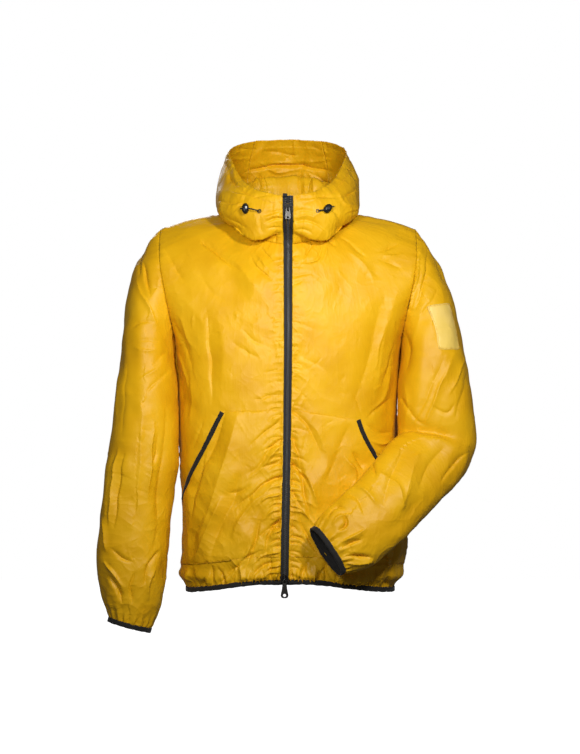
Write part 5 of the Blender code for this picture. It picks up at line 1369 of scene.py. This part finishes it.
def toothLines():
    heights = np.linspace(*teethSetup["meshed"], 180)
    left, right, front = stripAt("zip_chain", heights)
    lines = []
    for side, late, tape in ((-1, 0, "zip_tape_right"), (1, teethSetup["pitch"] / 2, "zip_tape_left")):
        places = np.stack([(left + right) / 2 + side * (teethSetup["half"] - teethSetup["overlap"]),
                           front - teethSetup["proud"], heights - late], axis=1)
        lines.append((places, np.tile((0.0, -1.0, 0.0), (len(places), 1))))
        rows = np.linspace(*teethSetup["open"], 9)
        tapeLeft, tapeRight, tapeFront = stripAt(tape, rows)
        inner = tapeRight if side < 0 else tapeLeft
        across = inner + side * teethSetup["half"] / 2
        places = np.stack([across, tapeFront - teethSetup["proud"], rows], axis=1)
        lines.append((places, np.tile((0.0, -1.0, 0.0), (len(places), 1))))
    return lines


toothShape = ringsShape([
    (0.0004, 0.0014, -0.0010), (0.0011, 0.0018, -0.0007), (0.0012, 0.0019, 0.0), (0.0011, 0.0018, 0.0007),
    (0.0004, 0.0014, 0.0010)], 8)
shapesAlong("zip_teeth", toothLines(), toothShape, teethSetup["pitch"], mouldedTeeth)
print("zip teeth made")

# Lockstitches in polyester thread: beside the zip, round pockets and patch, along the hood's rim and the hem.
stitchSetup = {"pitch": 0.0031, "length": 0.0023, "thread": 0.00028, "lift": 0.0001, "gap": 0.02}
stitchShape = ringsShape([
    (thick * stitchSetup["thread"], wide * stitchSetup["thread"], place * stitchSetup["length"])
    for thick, wide, place in ((0.4, 0.5, -0.5), (1, 1.2, -0.3), (1, 1.2, 0.3), (0.4, 0.5, 0.5))], 6)


def borderLoops(points, faces):
    # border corners in order, and the way into the cloth at each
    edges, numbers, border = faceEdges(points, faces)
    step = {}
    inward = np.zeros(points.shape)
    for corner in range(3):
        for row in np.where(border[numbers[:, corner]])[0]:
            a, b, c = faces[row][[corner, (corner + 1) % 3, (corner + 2) % 3]]
            step[a] = b
            way = points[b] - points[a]
            into = points[c] - points[a]
            into = into - way * (into @ way) / max(way @ way, 1e-12)
            into = into / max(np.linalg.norm(into), 1e-9)
            inward[a] += into
            inward[b] += into
    loops = []
    while step:
        start = next(iter(step))
        loop = [start]
        while loop[-1] in step:
            loop.append(step.pop(loop[-1]))
        loops.append(np.array(loop[:-1]))
    return loops, inward / np.maximum(np.linalg.norm(inward, axis=1), 1e-9)[:, None]


def stitchLines(name, inset, keep):
    # lines at an even distance inside a piece's border, laid on its creased cloth, where keep says so
    points, faces = cloth[name]
    tree = BVHTree.FromPolygons(points.tolist(), faces.tolist())
    loops, inward = borderLoops(points, faces)
    lines = []
    for loop in loops:
        ways = inward[loop]
        places = points[loop]
        for again in range(3):
            ways = (ways + np.roll(ways, 2, axis=0) + np.roll(ways, -2, axis=0)) / 3
        ways /= np.maximum(np.linalg.norm(ways, axis=1), 1e-9)[:, None]
        line, outward = [], []
        first = next((i for i in range(len(loop)) if not keep(places[i])), 0)
        for k in list(range(first, len(loop))) + list(range(first + 1)):
            hit, normal = tree.find_nearest(Vector(places[k] + ways[k] * inset))[:2]
            if keep(places[k]) and (not line or (Vector(line[-1]) - hit).length < stitchSetup["gap"]):
                line.append(tuple(hit + normal * stitchSetup["lift"]))
                outward.append(tuple(normal))
                continue
            if len(line) > 3:
                lines.append((np.array(line), np.array(outward)))
            line, outward = [], []
        if len(line) > 3:
            lines.append((np.array(line), np.array(outward)))
    return lines


zipHeights = np.linspace(0.0, -0.64, 65)
zipLeft, zipRight = stripAt("zip_chain", zipHeights)[:2]


def besideZip(place):
    middle = np.interp(-place[2], -zipHeights, (zipLeft + zipRight) / 2)
    return abs(place[0] - middle) < 0.0125 and place[1] < -0.08


def onRim(place):
    if place[2] < 0.004 or besideZip(place):
        return False
    return min(tree.find(place)[2] for tree in rimTrees.values()) < 0.006


def onHem(place):
    return place[2] < -0.625


def allRound(place):
    return True


# piece: (distance from its edge, which parts of the edge)
stitchPlan = {
    "front_right": [(0.0042, besideZip), (0.0032, onHem)],
    "front_left": [(0.0042, besideZip), (0.0032, onHem)],
    "back": [(0.0032, onHem)],
    "hood_side_right": [(0.0042, besideZip), (rimTunnel["width"], onRim)],
    "hood_side_left": [(0.0042, besideZip), (rimTunnel["width"], onRim)],
    "hood_centre": [(rimTunnel["width"], onRim)],
    "pocket_right": [(0.0020, allRound)],
    "pocket_left": [(0.0020, allRound)],
    "sleeve_patch": [(0.0024, allRound)],
}
seamLines = []
for name, plan in stitchPlan.items():
    for inset, keep in plan:
        seamLines += stitchLines(name, inset, keep)
shapesAlong("lockstitches", seamLines, stitchShape, stitchSetup["pitch"], sewingThread)
print("stitches made:", len(seamLines), "lines")

# Hardware: the solids' own forms with their edges rounded, as castings and mouldings leave the tool.
hardware = {
    "slider_top": ("jacket", "gunmetal", gunmetalPlate, 0.0003),
    "slider_bottom": ("jacket", "gunmetal", gunmetalPlate, 0.0003),
    "pull_top": ("pull_top", "gunmetal", gunmetalPlate, 0.00025),
    "pull_bottom": ("pull_bottom", "gunmetal", gunmetalPlate, 0.00025),
}


def roundedCopy(name, body, slotName, material, width):
    shape = bmesh.new()
    shape.from_mesh(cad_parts[name].data)
    bmesh.ops.remove_doubles(shape, verts=shape.verts, dist=2e-6)
    bmesh.ops.dissolve_limit(shape, angle_limit=0.03, verts=shape.verts, edges=shape.edges)
    sharp = [e for e in shape.edges if len(e.link_faces) == 2 and e.calc_face_angle(0) > 0.7]
    bmesh.ops.bevel(
        shape, geom=sharp, offset=width, segments=2, profile=0.5, affect="EDGES", clamp_overlap=True)
    bmesh.ops.triangulate(shape, faces=shape.faces)
    mesh = bpy.data.meshes.new(name + "_rounded")
    shape.to_mesh(mesh)
    shape.free()
    piece = linkPiece(name + "_rounded", mesh, material)
    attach(piece, body)
    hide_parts(name)


for name, setup in hardware.items():
    roundedCopy(name, *setup)

# The right tape's top end is turned over on itself: a short stiff curl that stands above the slider.
tapeTurn = {"thick": 0.0009, "path": [
    (-0.1138, 0.0010), (-0.1146, 0.0075), (-0.1156, 0.0142), (-0.1172, 0.0168), (-0.1194, 0.0174),
    (-0.1213, 0.0163), (-0.1218, 0.0143), (-0.1208, 0.0126), (-0.1190, 0.0120)]}


def turnedTape(name, left, right, count):
    path = [Vector((0, y, z)) for y, z in tapeTurn["path"][:count]]
    path = [Vector(p) for p in curved(path, 4)]
    points = []
    for i, place in enumerate(path):
        way = (path[min(i + 1, len(path) - 1)] - path[max(i - 1, 0)]).normalized()
        across = Vector((0, -way.z, way.y)) * tapeTurn["thick"] / 2
        for x, part in ((left, across), (right, across), (right, -across), (left, -across)):
            points.append((x, place.y + part.y, place.z + part.z))
    faces = tubeFaces(len(path), 4) + [(3, 2, 1, 0), tuple(len(points) - 4 + k for k in range(4))]
    mesh = bpy.data.meshes.new(name)
    mesh.from_pydata(points, [], faces)
    piece = linkPiece(name, mesh, zipTape)
    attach(piece, "jacket")


turnedTape("turned_tape_end", -0.0086, -0.0010, len(tapeTurn["path"]))
turnedTape("tape_behind_slider", -0.0040, 0.0038, 3)

# Solids that show as they are, with their finishes.
nodeMaterials = {
    "zip_tape_right": zipTape, "zip_tape_left": zipTape, "zip_chain": chainEdge,
    "cord_lock_right": mouldedNylon, "cord_lock_left": mouldedNylon, "eyelet_right": mouldedNylon,
    "eyelet_left": mouldedNylon}
for name, material in nodeMaterials.items():
    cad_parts[name].material_slots[0].material = material

# Stage: a pale floor well below the garment, a bright backdrop, and three lights: a key in front, from the
# left arm's side, a weaker one level with the chest, and a wide one behind. Lights are in watts.
stageSetup = {
    "floor": -1.05, "size": 9.0, "floorGlow": 1.1, "key": 7.7, "front": 2.7, "rear": 13.0, "sky": 0.07,
    "backdrop": 1.0}
floorMesh = bpy.data.meshes.new("floor")
half = stageSetup["size"] / 2
low = stageSetup["floor"]
floorMesh.from_pydata([(-half, -half, low), (half, -half, low), (half, half, low), (-half, half, low)], [],
                      [(0, 1, 2, 3)])
floorPaint = startMaterial("matt_white_paint", **{
    "Base Color": linear("#FAFAFA"), "Roughness": 0.9, "Emission Color": linear("#FFFFFF"),
    "Emission Strength": stageSetup["floorGlow"]})[0]
floorPiece = linkPiece("floor", floorMesh, floorPaint)
floorPiece.visible_diffuse = False
floorPiece.visible_glossy = False


def softLight(name, place, aim, size, power, spread, colour="#FFFFFF"):
    data = bpy.data.lights.new(name, "AREA")
    data.shape = "DISK"
    data.size = size
    data.energy = power
    data.spread = math.radians(spread)
    data.color = linear(colour)[:3]
    light = bpy.data.objects.new(name, data)
    light.location = place
    light.visible_camera = False
    light.rotation_euler = (Vector(aim) - Vector(place)).to_track_quat("-Z", "Y").to_euler()
    scene.collection.objects.link(light)


softLight("key", (0.52, -1.46, 0.42), (0, 0, -0.24), 0.20, stageSetup["key"], 120)
softLight("front", (-0.30, -1.55, 0.00), (-0.02, 0, -0.20), 0.4, stageSetup["front"], 75)
softLight("rear", (-0.5, 2.3, 0.9), (0, 0, -0.30), 1.2, stageSetup["rear"], 120)

world = bpy.data.worlds.new("studio")
world.use_nodes = True
scene.world = world
skyTree = world.node_tree
skyNode = skyTree.nodes["Background"]
skyNode.inputs["Color"].default_value = linear("#FFFFFF")
skyNode.inputs["Strength"].default_value = stageSetup["sky"]
seenSky = addNode(skyTree, "ShaderNodeBackground", {
    "Color": linear("#FFFFFF"), "Strength": stageSetup["backdrop"]})
path = addNode(skyTree, "ShaderNodeLightPath")
mixed = addNode(skyTree, "ShaderNodeMixShader", {
    0: path.outputs["Is Camera Ray"], 1: skyNode.outputs["Background"], 2: seenSky.outputs["Background"]})
skyTree.links.new(mixed.outputs["Shader"], skyTree.nodes["World Output"].inputs["Surface"])
print("stage made")
